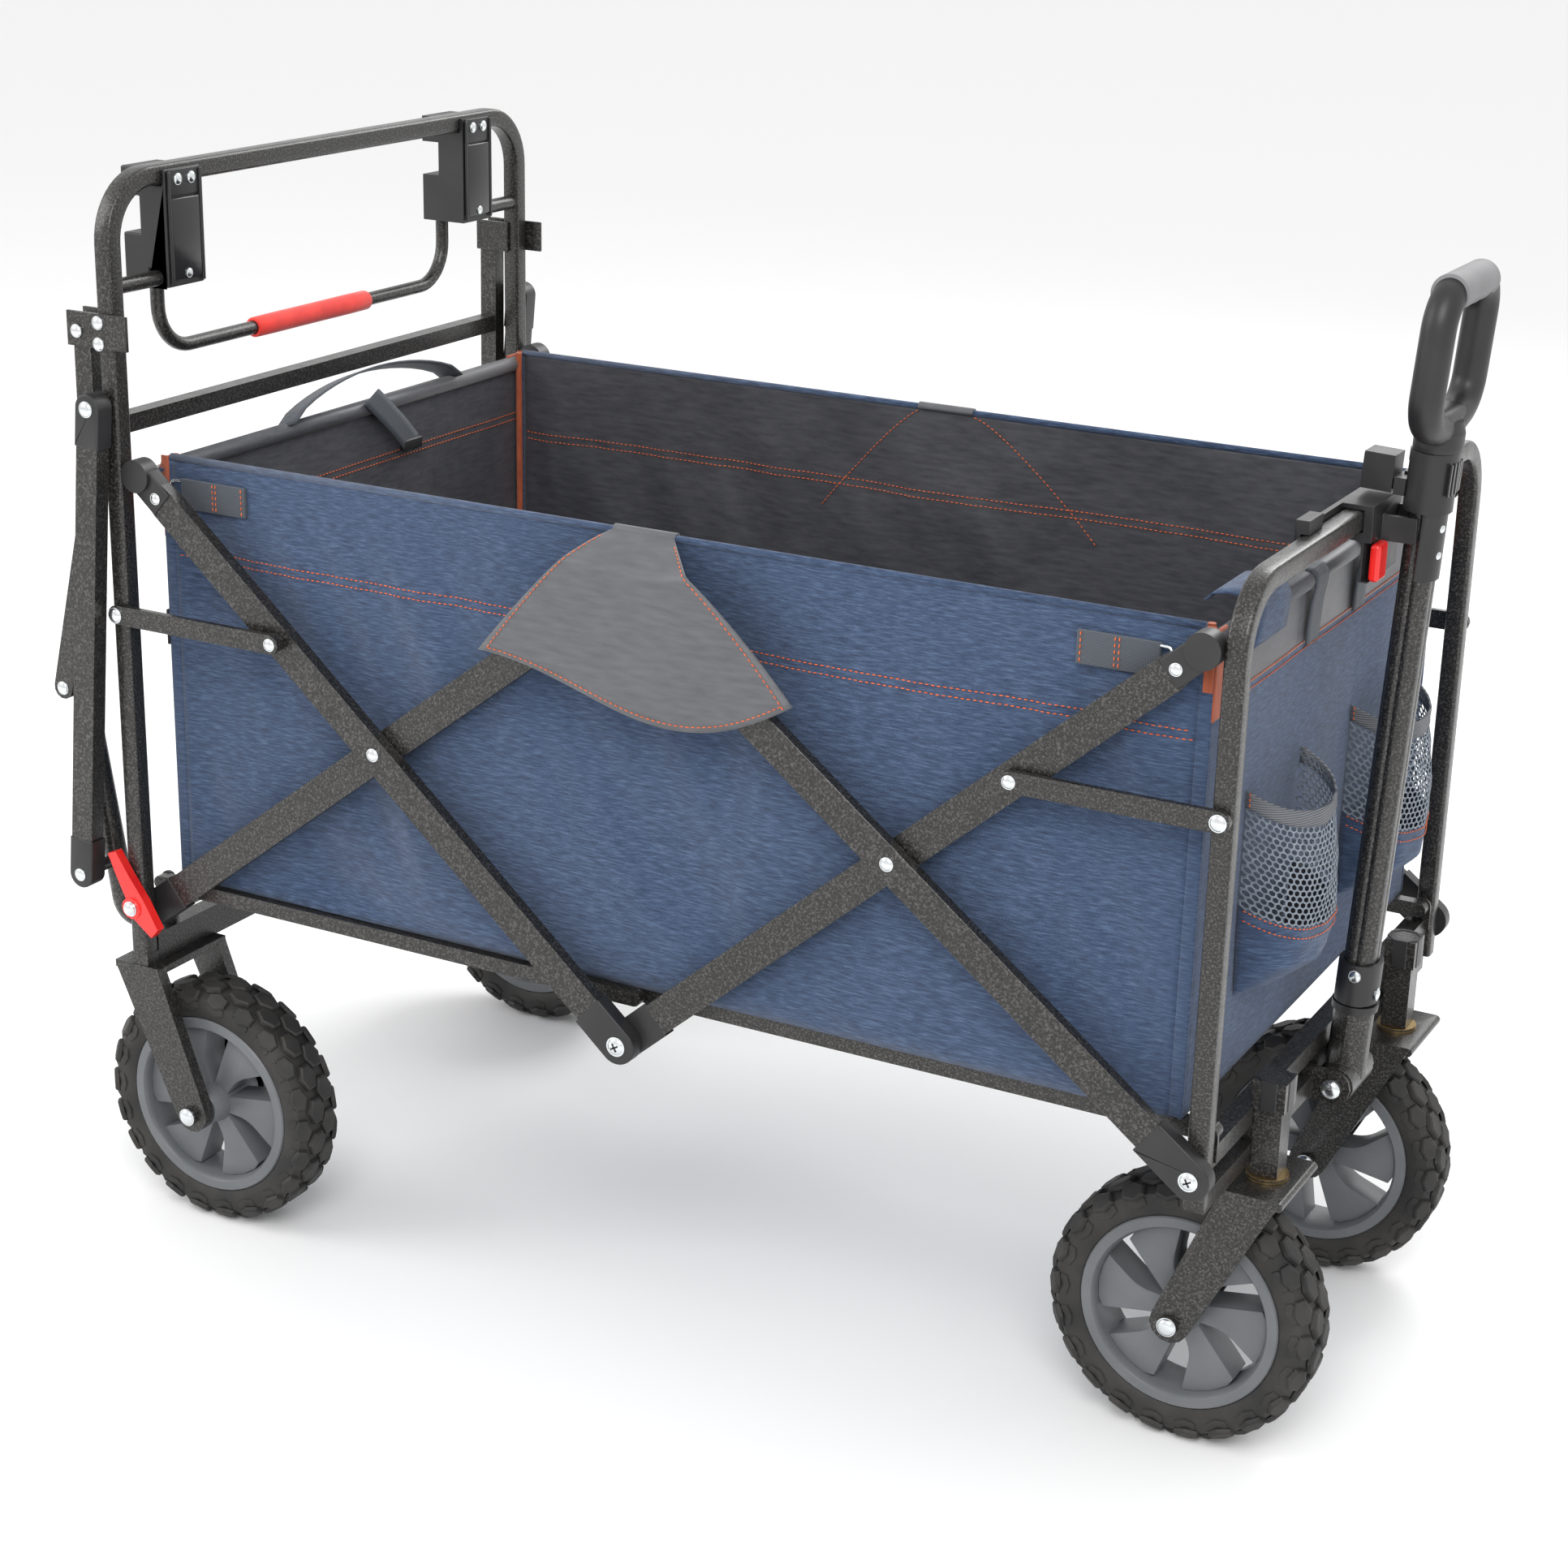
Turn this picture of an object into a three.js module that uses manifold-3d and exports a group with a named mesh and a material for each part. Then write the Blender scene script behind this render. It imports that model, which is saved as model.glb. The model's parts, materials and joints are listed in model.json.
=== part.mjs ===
// Folding wagon with a pull handle, a stowed push handle and a fabric tub.
// Millimetres. +X points at the pull handle, +Y to the wagon's left, +Z up, ground at Z = 0.
// The right half is built first, and left parts are its mirror image in the XZ plane.
import * as THREE from "three";
import { mergeVertices } from "three/addons/utils/BufferGeometryUtils.js";
import Module from "manifold-3d";

const wasm = await Module();
wasm.setup();

// Driving sizes.
const WHEEL_DIA = 203;
const WHEEL_WIDTH = 47.5;
const POST_SPACING = 886;
const REAR_TRACK = 541;
const FRONT_TRACK = 511;
const REAR_HEIGHT = 847;
const FRONT_HEIGHT = 670;
const TUBE = 15;
const BAR_WIDTH = 25;
const BAR_THICK = 10;
const HUB_HEIGHT = 623.5;
const TOP_PIVOT_HEIGHT = 604;
const FOOT_PIVOT_HEIGHT = 263;
const BOTTOM_PIVOT_HEIGHT = 255.5;
const TUB_RIM = 636;
const CLOTH = 3;
const GAP = 0.3;
const HANDLE_LEAN = 2.7;

// Sizes that follow from them.
const REAR_X = -POST_SPACING / 2;
const FRONT_X = POST_SPACING / 2;
const REAR_Y = REAR_TRACK / 2;
const FRONT_Y = FRONT_TRACK / 2;
const HALF = TUBE / 2;
const HUB_X = FRONT_X - 20;
const OUTER = [REAR_Y - HALF + 0.5, REAR_Y - HALF + 0.5 + BAR_THICK];
const INNER = [OUTER[0] - 1 - BAR_THICK, OUTER[0] - 1];
const WHEEL_Z = WHEEL_DIA / 2;
const REAR_WHEEL = { x: REAR_X + 45, y: REAR_Y - 35 };
const SWIVEL = { x: FRONT_X + 13.5, y: FRONT_Y - 107 };
const FRONT_WHEEL = { x: SWIVEL.x - WHEEL_Z / 2, y: SWIVEL.y };
const FORK_TOP = WHEEL_DIA + 13;
const POST_FOOT = FORK_TOP + 16;
const RAIL_Z = FOOT_PIVOT_HEIGHT + 20;
const FLOOR_Z = RAIL_Z + 7.3;
const SIDE_Y = INNER[0] - 9;
const LINK_Z = 514;
const HANDLE = { x: FRONT_X + 19, z: 236 };
const HOUSING_Y = REAR_Y - 75;

const crossing = meet([0, BOTTOM_PIVOT_HEIGHT], [HUB_X, HUB_HEIGHT],
  [FRONT_X, FOOT_PIVOT_HEIGHT], [0, TOP_PIVOT_HEIGHT]);

// Where the line a-b meets the line c-d.
function meet(a, b, c, d) {
  const cross = (p, q) => p[0] * q[1] - p[1] * q[0];
  const ab = [b[0] - a[0], b[1] - a[1]];
  const cd = [d[0] - c[0], d[1] - c[1]];
  const t = cross([c[0] - a[0], c[1] - a[1]], cd) / cross(ab, cd);
  return [a[0] + t * ab[0], a[1] + t * ab[1]];
}

// A closed solid from a three.js geometry, with its faces turned outwards.
function solid(geometry) {
  const bare = geometry.clone();
  bare.deleteAttribute("normal");
  bare.deleteAttribute("uv");
  const merged = mergeVertices(bare, 1e-4);
  const points = merged.attributes.position.array;
  const corners = [];
  for (let i = 0; i < merged.index.count; i += 3) {
    const [a, b, c] = [0, 1, 2].map((k) => merged.index.array[i + k]);
    if (a !== b && b !== c && c !== a) corners.push(a, b, c);
  }
  const at = (i) => new THREE.Vector3().fromArray(points, i * 3);
  let volume = 0;
  for (let i = 0; i < corners.length; i += 3) {
    volume += at(corners[i]).dot(at(corners[i + 1]).cross(at(corners[i + 2])));
  }
  if (volume < 0) corners.reverse();
  const triVerts = new Uint32Array(corners);
  const vertProperties = new Float32Array(points);
  return new wasm.Manifold(new wasm.Mesh({ numProp: 3, vertProperties, triVerts }));
}

const join = (...parts) => parts.flat().reduce((sum, part) => sum.add(part));
const cut = (body, ...tools) => tools.flat().reduce((rest, tool) => rest.subtract(tool), body);
const mirrored = (part) => part.mirror([0, 1, 0]);
const both = (part) => [part, mirrored(part)];

// A box between two limits on each axis.
function block([x0, x1], [y0, y1], [z0, z1]) {
  const box = new THREE.BoxGeometry(x1 - x0, y1 - y0, z1 - z0);
  return solid(box.translate((x0 + x1) / 2, (y0 + y1) / 2, (z0 + z1) / 2));
}

// A round rod along Y at (x, z), on the right side when its Y limits are given as distances.
function crossRod(radius, x, z, [near, far], sides = radius < 6 ? 10 : 12) {
  const rod = new THREE.CylinderGeometry(radius, radius, far - near, sides);
  return solid(rod.translate(x, -(near + far) / 2, z));
}

// A round rod along Z.
function upright(radius, x, y, [low, high], sides = 12) {
  const rod = new THREE.CylinderGeometry(radius, radius, high - low, sides);
  return solid(rod.rotateX(Math.PI / 2).translate(x, y, (low + high) / 2));
}

// An outline in the XZ plane, thickened on the right side between two distances from the middle.
function plate(outline, [near, far]) {
  const shape = new THREE.Shape(outline.map(([x, z]) => new THREE.Vector2(x, z)));
  const geometry = new THREE.ExtrudeGeometry(shape, { depth: far - near, bevelEnabled: false });
  return solid(geometry.rotateX(Math.PI / 2).translate(0, -near, 0));
}

// An outline in the XY plane, thickened between two heights.
function slab(outline, [low, high]) {
  const shape = new THREE.Shape(outline.map(([x, y]) => new THREE.Vector2(x, y)));
  const geometry = new THREE.ExtrudeGeometry(shape, { depth: high - low, bevelEnabled: false });
  return solid(geometry.translate(0, 0, low));
}

// Points of an arc, angles in degrees.
function arc([x, z], radius, from, to, steps = 6) {
  return Array.from({ length: steps + 1 }, (_, i) => {
    const angle = ((from + ((to - from) * i) / steps) * Math.PI) / 180;
    return [x + radius * Math.cos(angle), z + radius * Math.sin(angle)];
  });
}

// A flat bar between two pivots with rounded ends of its own radii.
function strap(p, q, [startRadius, endRadius], layer, taper = 0) {
  const length = Math.hypot(q[0] - p[0], q[1] - p[1]);
  const tilt = (Math.atan2(q[1] - p[1], q[0] - p[0]) * 180) / Math.PI;
  const neck = taper ? [[length - taper, startRadius]] : [];
  const outline = [
    ...arc([0, 0], startRadius, 90, 270),
    ...neck.map(([x, r]) => [x, -r]),
    ...arc([length, 0], endRadius, -90, 90),
    ...neck,
  ];
  return plate(outline, layer).rotate([0, -tilt, 0]).translate([p[0], 0, p[1]]);
}

// A leg that runs from a level top edge down to a round eye.
function leg([x0, x1], top, eye, radius, layer) {
  const lean = (Math.atan2(eye[1] - top, eye[0] - (x0 + x1) / 2) * 180) / Math.PI;
  return plate([[x1, top], [x0, top], ...arc(eye, radius, lean - 90, lean + 90)], layer);
}

// A path with its corners rounded, for bent tubes.
class Bend extends THREE.Curve {
  constructor(corners, radius, steps = 4) {
    super();
    const given = corners.map((c) => new THREE.Vector3(...c));
    this.points = [given[0]];
    for (let i = 1; i < given.length - 1; i += 1) {
      const back = given[i - 1].clone().sub(given[i]).normalize();
      const ahead = given[i + 1].clone().sub(given[i]).normalize();
      const half = back.angleTo(ahead) / 2;
      const bisector = back.clone().add(ahead).normalize();
      const centre = bisector.multiplyScalar(radius / Math.sin(half)).add(given[i]);
      const start = back.clone().multiplyScalar(radius / Math.tan(half)).add(given[i]).sub(centre);
      const end = ahead.clone().multiplyScalar(radius / Math.tan(half)).add(given[i]).sub(centre);
      const sweep = start.angleTo(end);
      for (let k = 0; k <= steps; k += 1) {
        const a = Math.sin(sweep * (1 - k / steps)) / Math.sin(sweep);
        const b = Math.sin((sweep * k) / steps) / Math.sin(sweep);
        const spoke = start.clone().multiplyScalar(a).addScaledVector(end, b);
        this.points.push(spoke.add(centre));
      }
    }
    this.points.push(given.at(-1));
  }
  getPoint(t) {
    return this.points[Math.round(t * (this.points.length - 1))].clone();
  }
  getPointAt(t) {
    return this.getPoint(t);
  }
  getTangentAt(t) {
    const i = Math.round(t * (this.points.length - 1));
    const before = this.points[Math.max(i - 1, 0)];
    const after = this.points[Math.min(i + 1, this.points.length - 1)];
    return after.clone().sub(before).normalize();
  }
}

// A tube with a square or round section along a bent path.
function tube(corners, radius, section, steps) {
  const path = new Bend(corners, radius, steps);
  const options = { steps: path.points.length - 1, extrudePath: path, bevelEnabled: false };
  return solid(new THREE.ExtrudeGeometry(section, options));
}

function squareSection(size) {
  const h = size / 2;
  return new THREE.Shape([[-h, -h], [h, -h], [h, h], [-h, h]].map((p) => new THREE.Vector2(...p)));
}

function roundSection(radius, sides = 8) {
  const points = Array.from({ length: sides }, (_, i) => {
    const angle = ((i + 0.5) / sides) * 2 * Math.PI;
    return new THREE.Vector2(radius * Math.cos(angle), radius * Math.sin(angle));
  });
  return new THREE.Shape(points);
}

// A ring or disc turned about the Y axis from a closed profile of [radius, y].
function turned(profile, sides) {
  const points = [...profile, profile[0]].map((p) => new THREE.Vector2(...p));
  const lathe = new THREE.LatheGeometry(points, sides, Math.PI / sides);
  return solid(lathe);
}

// An oval outline, long way across the wagon.
function oval(x, depth, width, sides = 16) {
  return Array.from({ length: sides }, (_, i) => {
    const angle = ((i + 0.5) / sides) * 2 * Math.PI;
    return [x + (depth / 2) * Math.cos(angle), (width / 2) * Math.sin(angle)];
  });
}

function roundedOval(depth, width, sides) {
  return new THREE.Shape(oval(0, depth, width, sides).map((p) => new THREE.Vector2(...p)));
}

const wagon = new THREE.Group();

// Adds a named mesh with a material of its own.
function add(name, part, [colour, roughness, metalness]) {
  const { vertProperties, triVerts } = part.getMesh();
  const geometry = new THREE.BufferGeometry();
  geometry.setAttribute("position", new THREE.BufferAttribute(new Float32Array(vertProperties), 3));
  geometry.setIndex(new THREE.BufferAttribute(new Uint32Array(triVerts), 1));
  geometry.computeVertexNormals();
  const material = new THREE.MeshStandardMaterial({ color: colour, roughness, metalness });
  const mesh = new THREE.Mesh(geometry, material);
  mesh.name = name;
  wagon.add(mesh);
}

function addPair(name, part, finish) {
  add(`${name}_right`, part, finish);
  add(`${name}_left`, mirrored(part), finish);
}

const PAINT = [0x47474a, 0.45, 0.6];
const BLACK_PLASTIC = [0x1d1d1f, 0.5, 0];
const RED_PLASTIC = [0xe01f1c, 0.4, 0];
const RED_FOAM = [0xe0332e, 0.8, 0];
const GREY_PLASTIC = [0x5b5e62, 0.5, 0];
const TYRE_RUBBER = [0x232323, 0.85, 0];
const DENIM = [0x3f5a80, 0.9, 0];
const MESH_CLOTH = [0x5c626b, 0.9, 0];

// Rear frame: the tall hoop, with the stubs that carry the latch housings and the pivot pins.
{
  const top = REAR_HEIGHT - HALF;
  const hoop = tube([[REAR_X, -REAR_Y, POST_FOOT], [REAR_X, -REAR_Y, top], [REAR_X, REAR_Y, top],
    [REAR_X, REAR_Y, POST_FOOT]], 45, squareSection(TUBE));
  const face = REAR_Y + HALF;
  const stub = crossRod(6, REAR_X, 762, [HOUSING_Y + 21.5, REAR_Y - HALF + 1], 12);
  const footPin = join(crossRod(4, REAR_X, FOOT_PIVOT_HEIGHT, [INNER[0] - 1.5, REAR_Y - HALF + 1]),
    crossRod(7, REAR_X, FOOT_PIVOT_HEIGHT, [INNER[0] - 3, INNER[0] - GAP]));
  const linkPin = join(crossRod(3.5, REAR_X, LINK_Z, [face - 1, face + 6.5]),
    crossRod(6, REAR_X, LINK_Z, [face + 5.8, face + 8]));
  const armPin = join(crossRod(4, REAR_X - 6, 675, [face - 1, face + 20]),
    crossRod(7, REAR_X - 6, 675, [face + 18.6, face + 21]));
  const latchPin = join(crossRod(3.5, REAR_X + 3, 275, [face - 1, face + 11]),
    crossRod(6, REAR_X + 3, 275, [face + 10.6, face + 13]));
  add("rear_frame", join(hoop, both(join(stub, footPin, linkPin, armPin, latchPin))), PAINT);
}

// Rear axle beam: cross tube, wheel forks with their axles, and the ears of the floor rails.
{
  const flank = { inner: REAR_WHEEL.y - 42.5, outer: REAR_Y + HALF - GAP };
  const eye = [REAR_WHEEL.x, WHEEL_Z];
  const span = [REAR_X - 25, REAR_X + 18];
  const beam = block([REAR_X - HALF, REAR_X + HALF], [-REAR_Y + HALF + GAP, REAR_Y - HALF - GAP],
    [FORK_TOP + 5, FORK_TOP + 30]);
  const top = block(span, [-flank.outer, -flank.inner], [FORK_TOP, FORK_TOP + 6]);
  const post = block([REAR_X - HALF, REAR_X + HALF], [-REAR_Y - HALF + 1, -REAR_Y + HALF],
    [FORK_TOP + 4, POST_FOOT - GAP]);
  const cheek = (near, far, inside) => cut(
    leg(span, FORK_TOP + 3, eye, 15, [near, far]),
    leg([span[0] + 3, span[1] - 3], FORK_TOP - 6, eye, 12, inside));
  const outerLeg = cheek(flank.outer - 10, flank.outer, [flank.outer - 11, flank.outer - 3]);
  const innerLeg = cheek(flank.inner, flank.inner + 10, [flank.inner + 3, flank.inner + 11]);
  const axle = wheelAxle(REAR_WHEEL, flank.inner, flank.outer);
  const ear = plate([[REAR_X - 7, FORK_TOP + 28], [REAR_X + 7, FORK_TOP + 28],
    ...arc([REAR_X, RAIL_Z], 7, 0, 180)], [SIDE_Y - 7.3, SIDE_Y - 4.3]);
  const earPin = crossRod(3.5, REAR_X, RAIL_Z, [SIDE_Y - 5, SIDE_Y + 5.8]);
  add("rear_axle_beam", join(beam, both(join(top, post, outerLeg, innerLeg, axle, ear, earPin))), PAINT);
}

// A wheel axle between two fork legs, with spacers beside the hub and a head at each end.
function wheelAxle(wheel, inner, outer) {
  const hub = 28 + GAP;
  return join(
    crossRod(5, wheel.x, WHEEL_Z, [inner - 2, outer + 2]),
    crossRod(8, wheel.x, WHEEL_Z, [wheel.y + hub, outer - 2]),
    crossRod(8, wheel.x, WHEEL_Z, [inner + 2, wheel.y - hub]),
    crossRod(7.5, wheel.x, WHEEL_Z, [outer - 1, outer + 5]),
    crossRod(7.5, wheel.x, WHEEL_Z, [inner - 5, inner + 1]));
}

// Latch housings on the rear top bar: grooved over the bar, notched at the back for the handle.
{
  const [near, far] = [HOUSING_Y - 21, HOUSING_Y + 21];
  const [back, front] = [REAR_X - 31, REAR_X + 11];
  const top = REAR_HEIGHT - 3.5;
  const body = block([back, front], [-far, -near], [755, top]);
  const groove = block([REAR_X - HALF - GAP, REAR_X + HALF + GAP], [-far - 1, -near + 1],
    [REAR_HEIGHT - TUBE - GAP, top + 1]);
  const notch = block([back - 1, REAR_X - 14.5], [-far - 1, -near + 1], [794, 822]);
  const bore = upright(6, REAR_X - 23, -HOUSING_Y + 5, [754, 786]);
  const seat = block([REAR_X - HALF, REAR_X + HALF], [-far - 1, -far + 3], [755.5, 768.5]);
  addPair("latch_housing", cut(body, groove, notch, bore, seat), BLACK_PLASTIC);
}

// Push-handle brackets: a cheek on each side of the arm, joined by the pivot pin.
const ARM_PIVOT = [REAR_X - 24, 729.6];
const ARM_END = [REAR_X - 63.5, 443];
const LINK_TOP = [REAR_X - 6, 675];
const LINK_END = [REAR_X - 39, 298];
const ARM_Y = REAR_Y - 0.5;
{
  const face = REAR_Y + HALF;
  const outer = block([ARM_PIVOT[0] - 10, REAR_X + 22], [-face - 3, -face - GAP], [718, 744]);
  const inner = block([ARM_PIVOT[0] - 10, REAR_X - 1], [-REAR_Y + HALF + GAP, -REAR_Y + HALF + 3],
    [718, 744]);
  const pin = crossRod(4, ...ARM_PIVOT, [REAR_Y - HALF - 2, face + 2]);
  addPair("push_bracket", join(outer, inner, pin), PAINT);
}

// Red levers that hook the stowed push handle at the foot of each rear post.
{
  const face = REAR_Y + HALF;
  const [x, z] = [REAR_X + 3, 275];
  const outline = [[x + 25, z - 14], [x + 18, z - 22], [x + 2, z - 10], [x - 16, z + 28], [x - 22, z + 42],
    [x - 14, z + 45], [x - 2, z + 27], [x + 12, z + 8]];
  const blade = plate(outline, [face + 1, face + 9]);
  const boss = crossRod(9, x, z, [face + GAP, face + 10.3]);
  addPair("latch_lever", cut(join(blade, boss), crossRod(3.5 + GAP, x, z, [face, face + 12])), RED_PLASTIC);
}

// Release bar: hangs from the housings, with a red grip sleeve in the middle.
{
  const x = REAR_X - 23;
  const y = HOUSING_Y - 5;
  const path = [[x, -y, 766], [x, -y, 700], [x, y, 700], [x, y, 766]];
  add("release_bar", tube(path, 35, roundSection(5.5), 4), PAINT);
  const sleeve = crossRod(8, x, 700, [-76, 76]);
  add("release_sleeve", cut(sleeve, crossRod(5.5 + GAP, x, 700, [-78, 78])), RED_FOAM);
}

// Push arms: two kinked legs and a cross tube.
{
  const knee = [ARM_PIVOT[0] - 1, 606];
  const layer = [ARM_Y - 6.5, ARM_Y + 6.5];
  const arms = join(
    strap(knee, ARM_PIVOT, [8, 8], layer),
    strap(knee, ARM_END, [8, 9], layer));
  const bores = [crossRod(4 + GAP, ...ARM_PIVOT, [layer[0] - 1, layer[1] + 1])];
  const endPin = join(crossRod(4, ...ARM_END, [layer[0] - 20, layer[0] + 1]),
    crossRod(7, ...ARM_END, [layer[0] - 22, layer[0] - 20 + GAP]));
  const bar = block([ARM_PIVOT[0] - 8, ARM_PIVOT[0] + 6], [-ARM_Y, ARM_Y], [644.6, 658.6]);
  add("push_arms", join(bar, both(join(cut(arms, bores), endPin))), PAINT);
}

// Push links: straight tubes with capped ends, outboard of the rear posts.
{
  const face = REAR_Y + HALF;
  const layer = [face + 4, face + 18];
  const link = join(strap(LINK_TOP, LINK_END, [10, 10], layer),
    crossRod(9, ...LINK_TOP, [face + GAP, face + 5]),
    crossRod(5, ...LINK_END, [ARM_Y - 6.5 - GAP, layer[0] + 1]));
  addPair("push_link", cut(link, crossRod(4 + GAP, ...LINK_TOP, [face, face + 19])), PAINT);
}

// Push handle: a round hoop that hangs from the arms, hand grip at its free end.
{
  const y = ARM_Y - 6.5 - 10;
  const grip = [REAR_X - 31, 243];
  const path = [[ARM_END[0], -y, ARM_END[1]], [LINK_END[0], -y, LINK_END[1]], [grip[0], -y, grip[1]],
    [grip[0], y, grip[1]], [LINK_END[0], y, LINK_END[1]], [ARM_END[0], y, ARM_END[1]]];
  const hoop = tube(path, 24, roundSection(9), 4);
  const eye = crossRod(10, ...ARM_END, [y - 9, y + 9]);
  const bore = crossRod(4 + GAP, ...ARM_END, [y - 12, y + 12]);
  add("push_handle", cut(join(hoop, both(eye)), both(bore)), PAINT);
}

// Wheels: a tyre, and a rim with skewed spokes and a bored hub.
const TREAD = WHEEL_Z / Math.cos(Math.PI / 24);
const SEAT = TREAD * 0.735;
function tyre() {
  const half = WHEEL_WIDTH / 2;
  const flank = [[SEAT + GAP, half * 0.84], [TREAD * 0.83, half * 0.95], [TREAD * 0.93, half],
    [TREAD * 0.985, half * 0.8], [TREAD, half * 0.5]];
  const low = flank.map(([r, y]) => [r, -y]);
  return turned([...low, ...flank.reverse()], 24);
}
function rim() {
  const half = WHEEL_WIDTH / 2 - 4;
  const ring = turned([[SEAT - 12, -half], [SEAT, -half], [SEAT, half], [SEAT - 12, half]], 24);
  const hub = crossRod(17, 0, 0, [-28, 28], 12);
  const reach = SEAT - 8;
  const spoke = plate([[8, -13], [reach * 0.92, -2], [reach * 0.86, 26], [4, 13]], [-8, 8]);
  const spokes = Array.from({ length: 6 }, (_, i) => spoke.rotate([0, i * 60, 0]));
  return cut(join(ring, hub, spokes), crossRod(5 + GAP, 0, 0, [-30, 30]));
}
for (const [end, wheel] of [["rear", REAR_WHEEL], ["front", FRONT_WHEEL]]) {
  addPair(`${end}_tyre`, tyre().translate([wheel.x, -wheel.y, WHEEL_Z]), TYRE_RUBBER);
  addPair(`${end}_rim`, rim().translate([wheel.x, -wheel.y, WHEEL_Z]), GREY_PLASTIC);
}

// Crossing side bars. "lower" bars start at a post's foot, "upper" bars end at a tub hub.
const FOOT = (end) => [end * FRONT_X, FOOT_PIVOT_HEIGHT];
const HUB = (end) => [end * HUB_X, HUB_HEIGHT];
const TOP = [0, TOP_PIVOT_HEIGHT];
const BOTTOM = [0, BOTTOM_PIVOT_HEIGHT];
const CROSS = (end) => [end * crossing[0], crossing[1]];
const PIN = 4;

const hole = (at, layer, radius = PIN) => crossRod(radius + GAP, ...at, [layer[0] - 2, layer[1] + 2]);
function innerPin(at) {
  return join(crossRod(PIN, ...at, [INNER[0] - 1.5, OUTER[0] + 1]),
    crossRod(PIN + 3, ...at, [INNER[0] - 3, INNER[0] - GAP]));
}
function lowerBar(end, layer) {
  return cut(strap(FOOT(end), TOP, [BAR_WIDTH / 2, BAR_WIDTH / 2], layer), hole(FOOT(end), layer));
}
function upperBar(end, layer) {
  const bar = strap(BOTTOM, HUB(end), [BAR_WIDTH / 2, 8.5], layer, 30);
  const boss = crossRod(8.5, ...HUB(end), [layer[0], layer[1] + 3.5]);
  return cut(join(bar, boss), crossRod(PIN + GAP, ...HUB(end), [layer[0] - 1, layer[1] + 1]));
}
const rearLower = cut(lowerBar(-1, INNER), hole(CROSS(-1), INNER));
const rearUpper = join(upperBar(-1, OUTER), innerPin(CROSS(-1)), innerPin(BOTTOM));
const frontUpper = cut(upperBar(1, INNER), hole(CROSS(1), INNER), hole(BOTTOM, INNER));
const frontLower = join(lowerBar(1, OUTER), innerPin(CROSS(1)));
addPair("rear_lower_bar", rearLower, PAINT);
addPair("rear_upper_bar", rearUpper, PAINT);
addPair("front_upper_bar", frontUpper, PAINT);
addPair("front_lower_bar", frontLower, PAINT);
add("rear_hub_rod", crossRod(PIN, ...HUB(-1), [-OUTER[1], OUTER[1]]), PAINT);
add("front_hub_rod", crossRod(PIN, ...HUB(1), [-INNER[1], INNER[1]]), PAINT);

// Short links between each post and the upper bar beside it.
const LINK_X = ((LINK_Z - BOTTOM_PIVOT_HEIGHT) / (HUB_HEIGHT - BOTTOM_PIVOT_HEIGHT)) * HUB_X;
function sideLink(end, post, layer, barFace) {
  const far = [end * LINK_X, LINK_Z];
  const body = strap([post, LINK_Z], far, [7.5, 7.5], layer);
  const spacer = crossRod(7, ...far, [barFace + GAP, layer[0] + 1]);
  return cut(join(body, spacer), crossRod(3.5 + GAP, post, LINK_Z, [layer[0] - 1, layer[1] + 1]));
}
const REAR_LINK = [REAR_Y + HALF + 0.5, REAR_Y + HALF + 5.5];
const FRONT_LINK = [FRONT_Y + HALF + 1.5, FRONT_Y + HALF + 6.5];
addPair("rear_link", sideLink(-1, REAR_X, REAR_LINK, OUTER[1]), PAINT);
addPair("front_link", sideLink(1, FRONT_X, FRONT_LINK, INNER[1]), PAINT);

// Folding floor rails: two rails and two cross members at each end.
function floorRails(end, layer) {
  const reach = POST_SPACING / 2 - 1.5;
  const rail = strap([end * FRONT_X, RAIL_Z], [end * (FRONT_X - reach), RAIL_Z], [6, 6], layer);
  const bored = cut(rail, crossRod(3.5 + GAP, end * FRONT_X, RAIL_Z, [layer[0] - 1, layer[1] + 1]));
  const members = [70, reach - 97].map((r) => {
    const x = end * (FRONT_X - r);
    return block([x - 6, x + 6], [-layer[0] - 1, layer[0] + 1], [RAIL_Z - 5.5, RAIL_Z + 5.5]);
  });
  return join(members, both(bored));
}
add("rear_floor_rails", floorRails(-1, [SIDE_Y - 4, SIDE_Y + 5.5]), PAINT);
add("front_floor_rails", floorRails(1, [SIDE_Y - 14.5, SIDE_Y - 4.5]), PAINT);

// Front frame: the low hoop with its pivot pins.
{
  const top = FRONT_HEIGHT - HALF;
  const face = FRONT_Y + HALF;
  const hoop = tube([[FRONT_X, -FRONT_Y, POST_FOOT + 5], [FRONT_X, -FRONT_Y, top], [FRONT_X, FRONT_Y, top],
    [FRONT_X, FRONT_Y, POST_FOOT + 5]], 45, squareSection(TUBE));
  const footPin = join(crossRod(PIN, FRONT_X, FOOT_PIVOT_HEIGHT, [face - 1, OUTER[1] + 1.5]),
    crossRod(7, FRONT_X, FOOT_PIVOT_HEIGHT, [OUTER[1] + GAP, OUTER[1] + 3]));
  const linkPin = join(crossRod(3.5, FRONT_X, LINK_Z, [face - 1, FRONT_LINK[1] + 1]),
    crossRod(6, FRONT_X, LINK_Z, [FRONT_LINK[1] + GAP, FRONT_LINK[1] + 2.5]));
  add("front_frame", join(hoop, both(join(footPin, linkPin))), PAINT);
}

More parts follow.
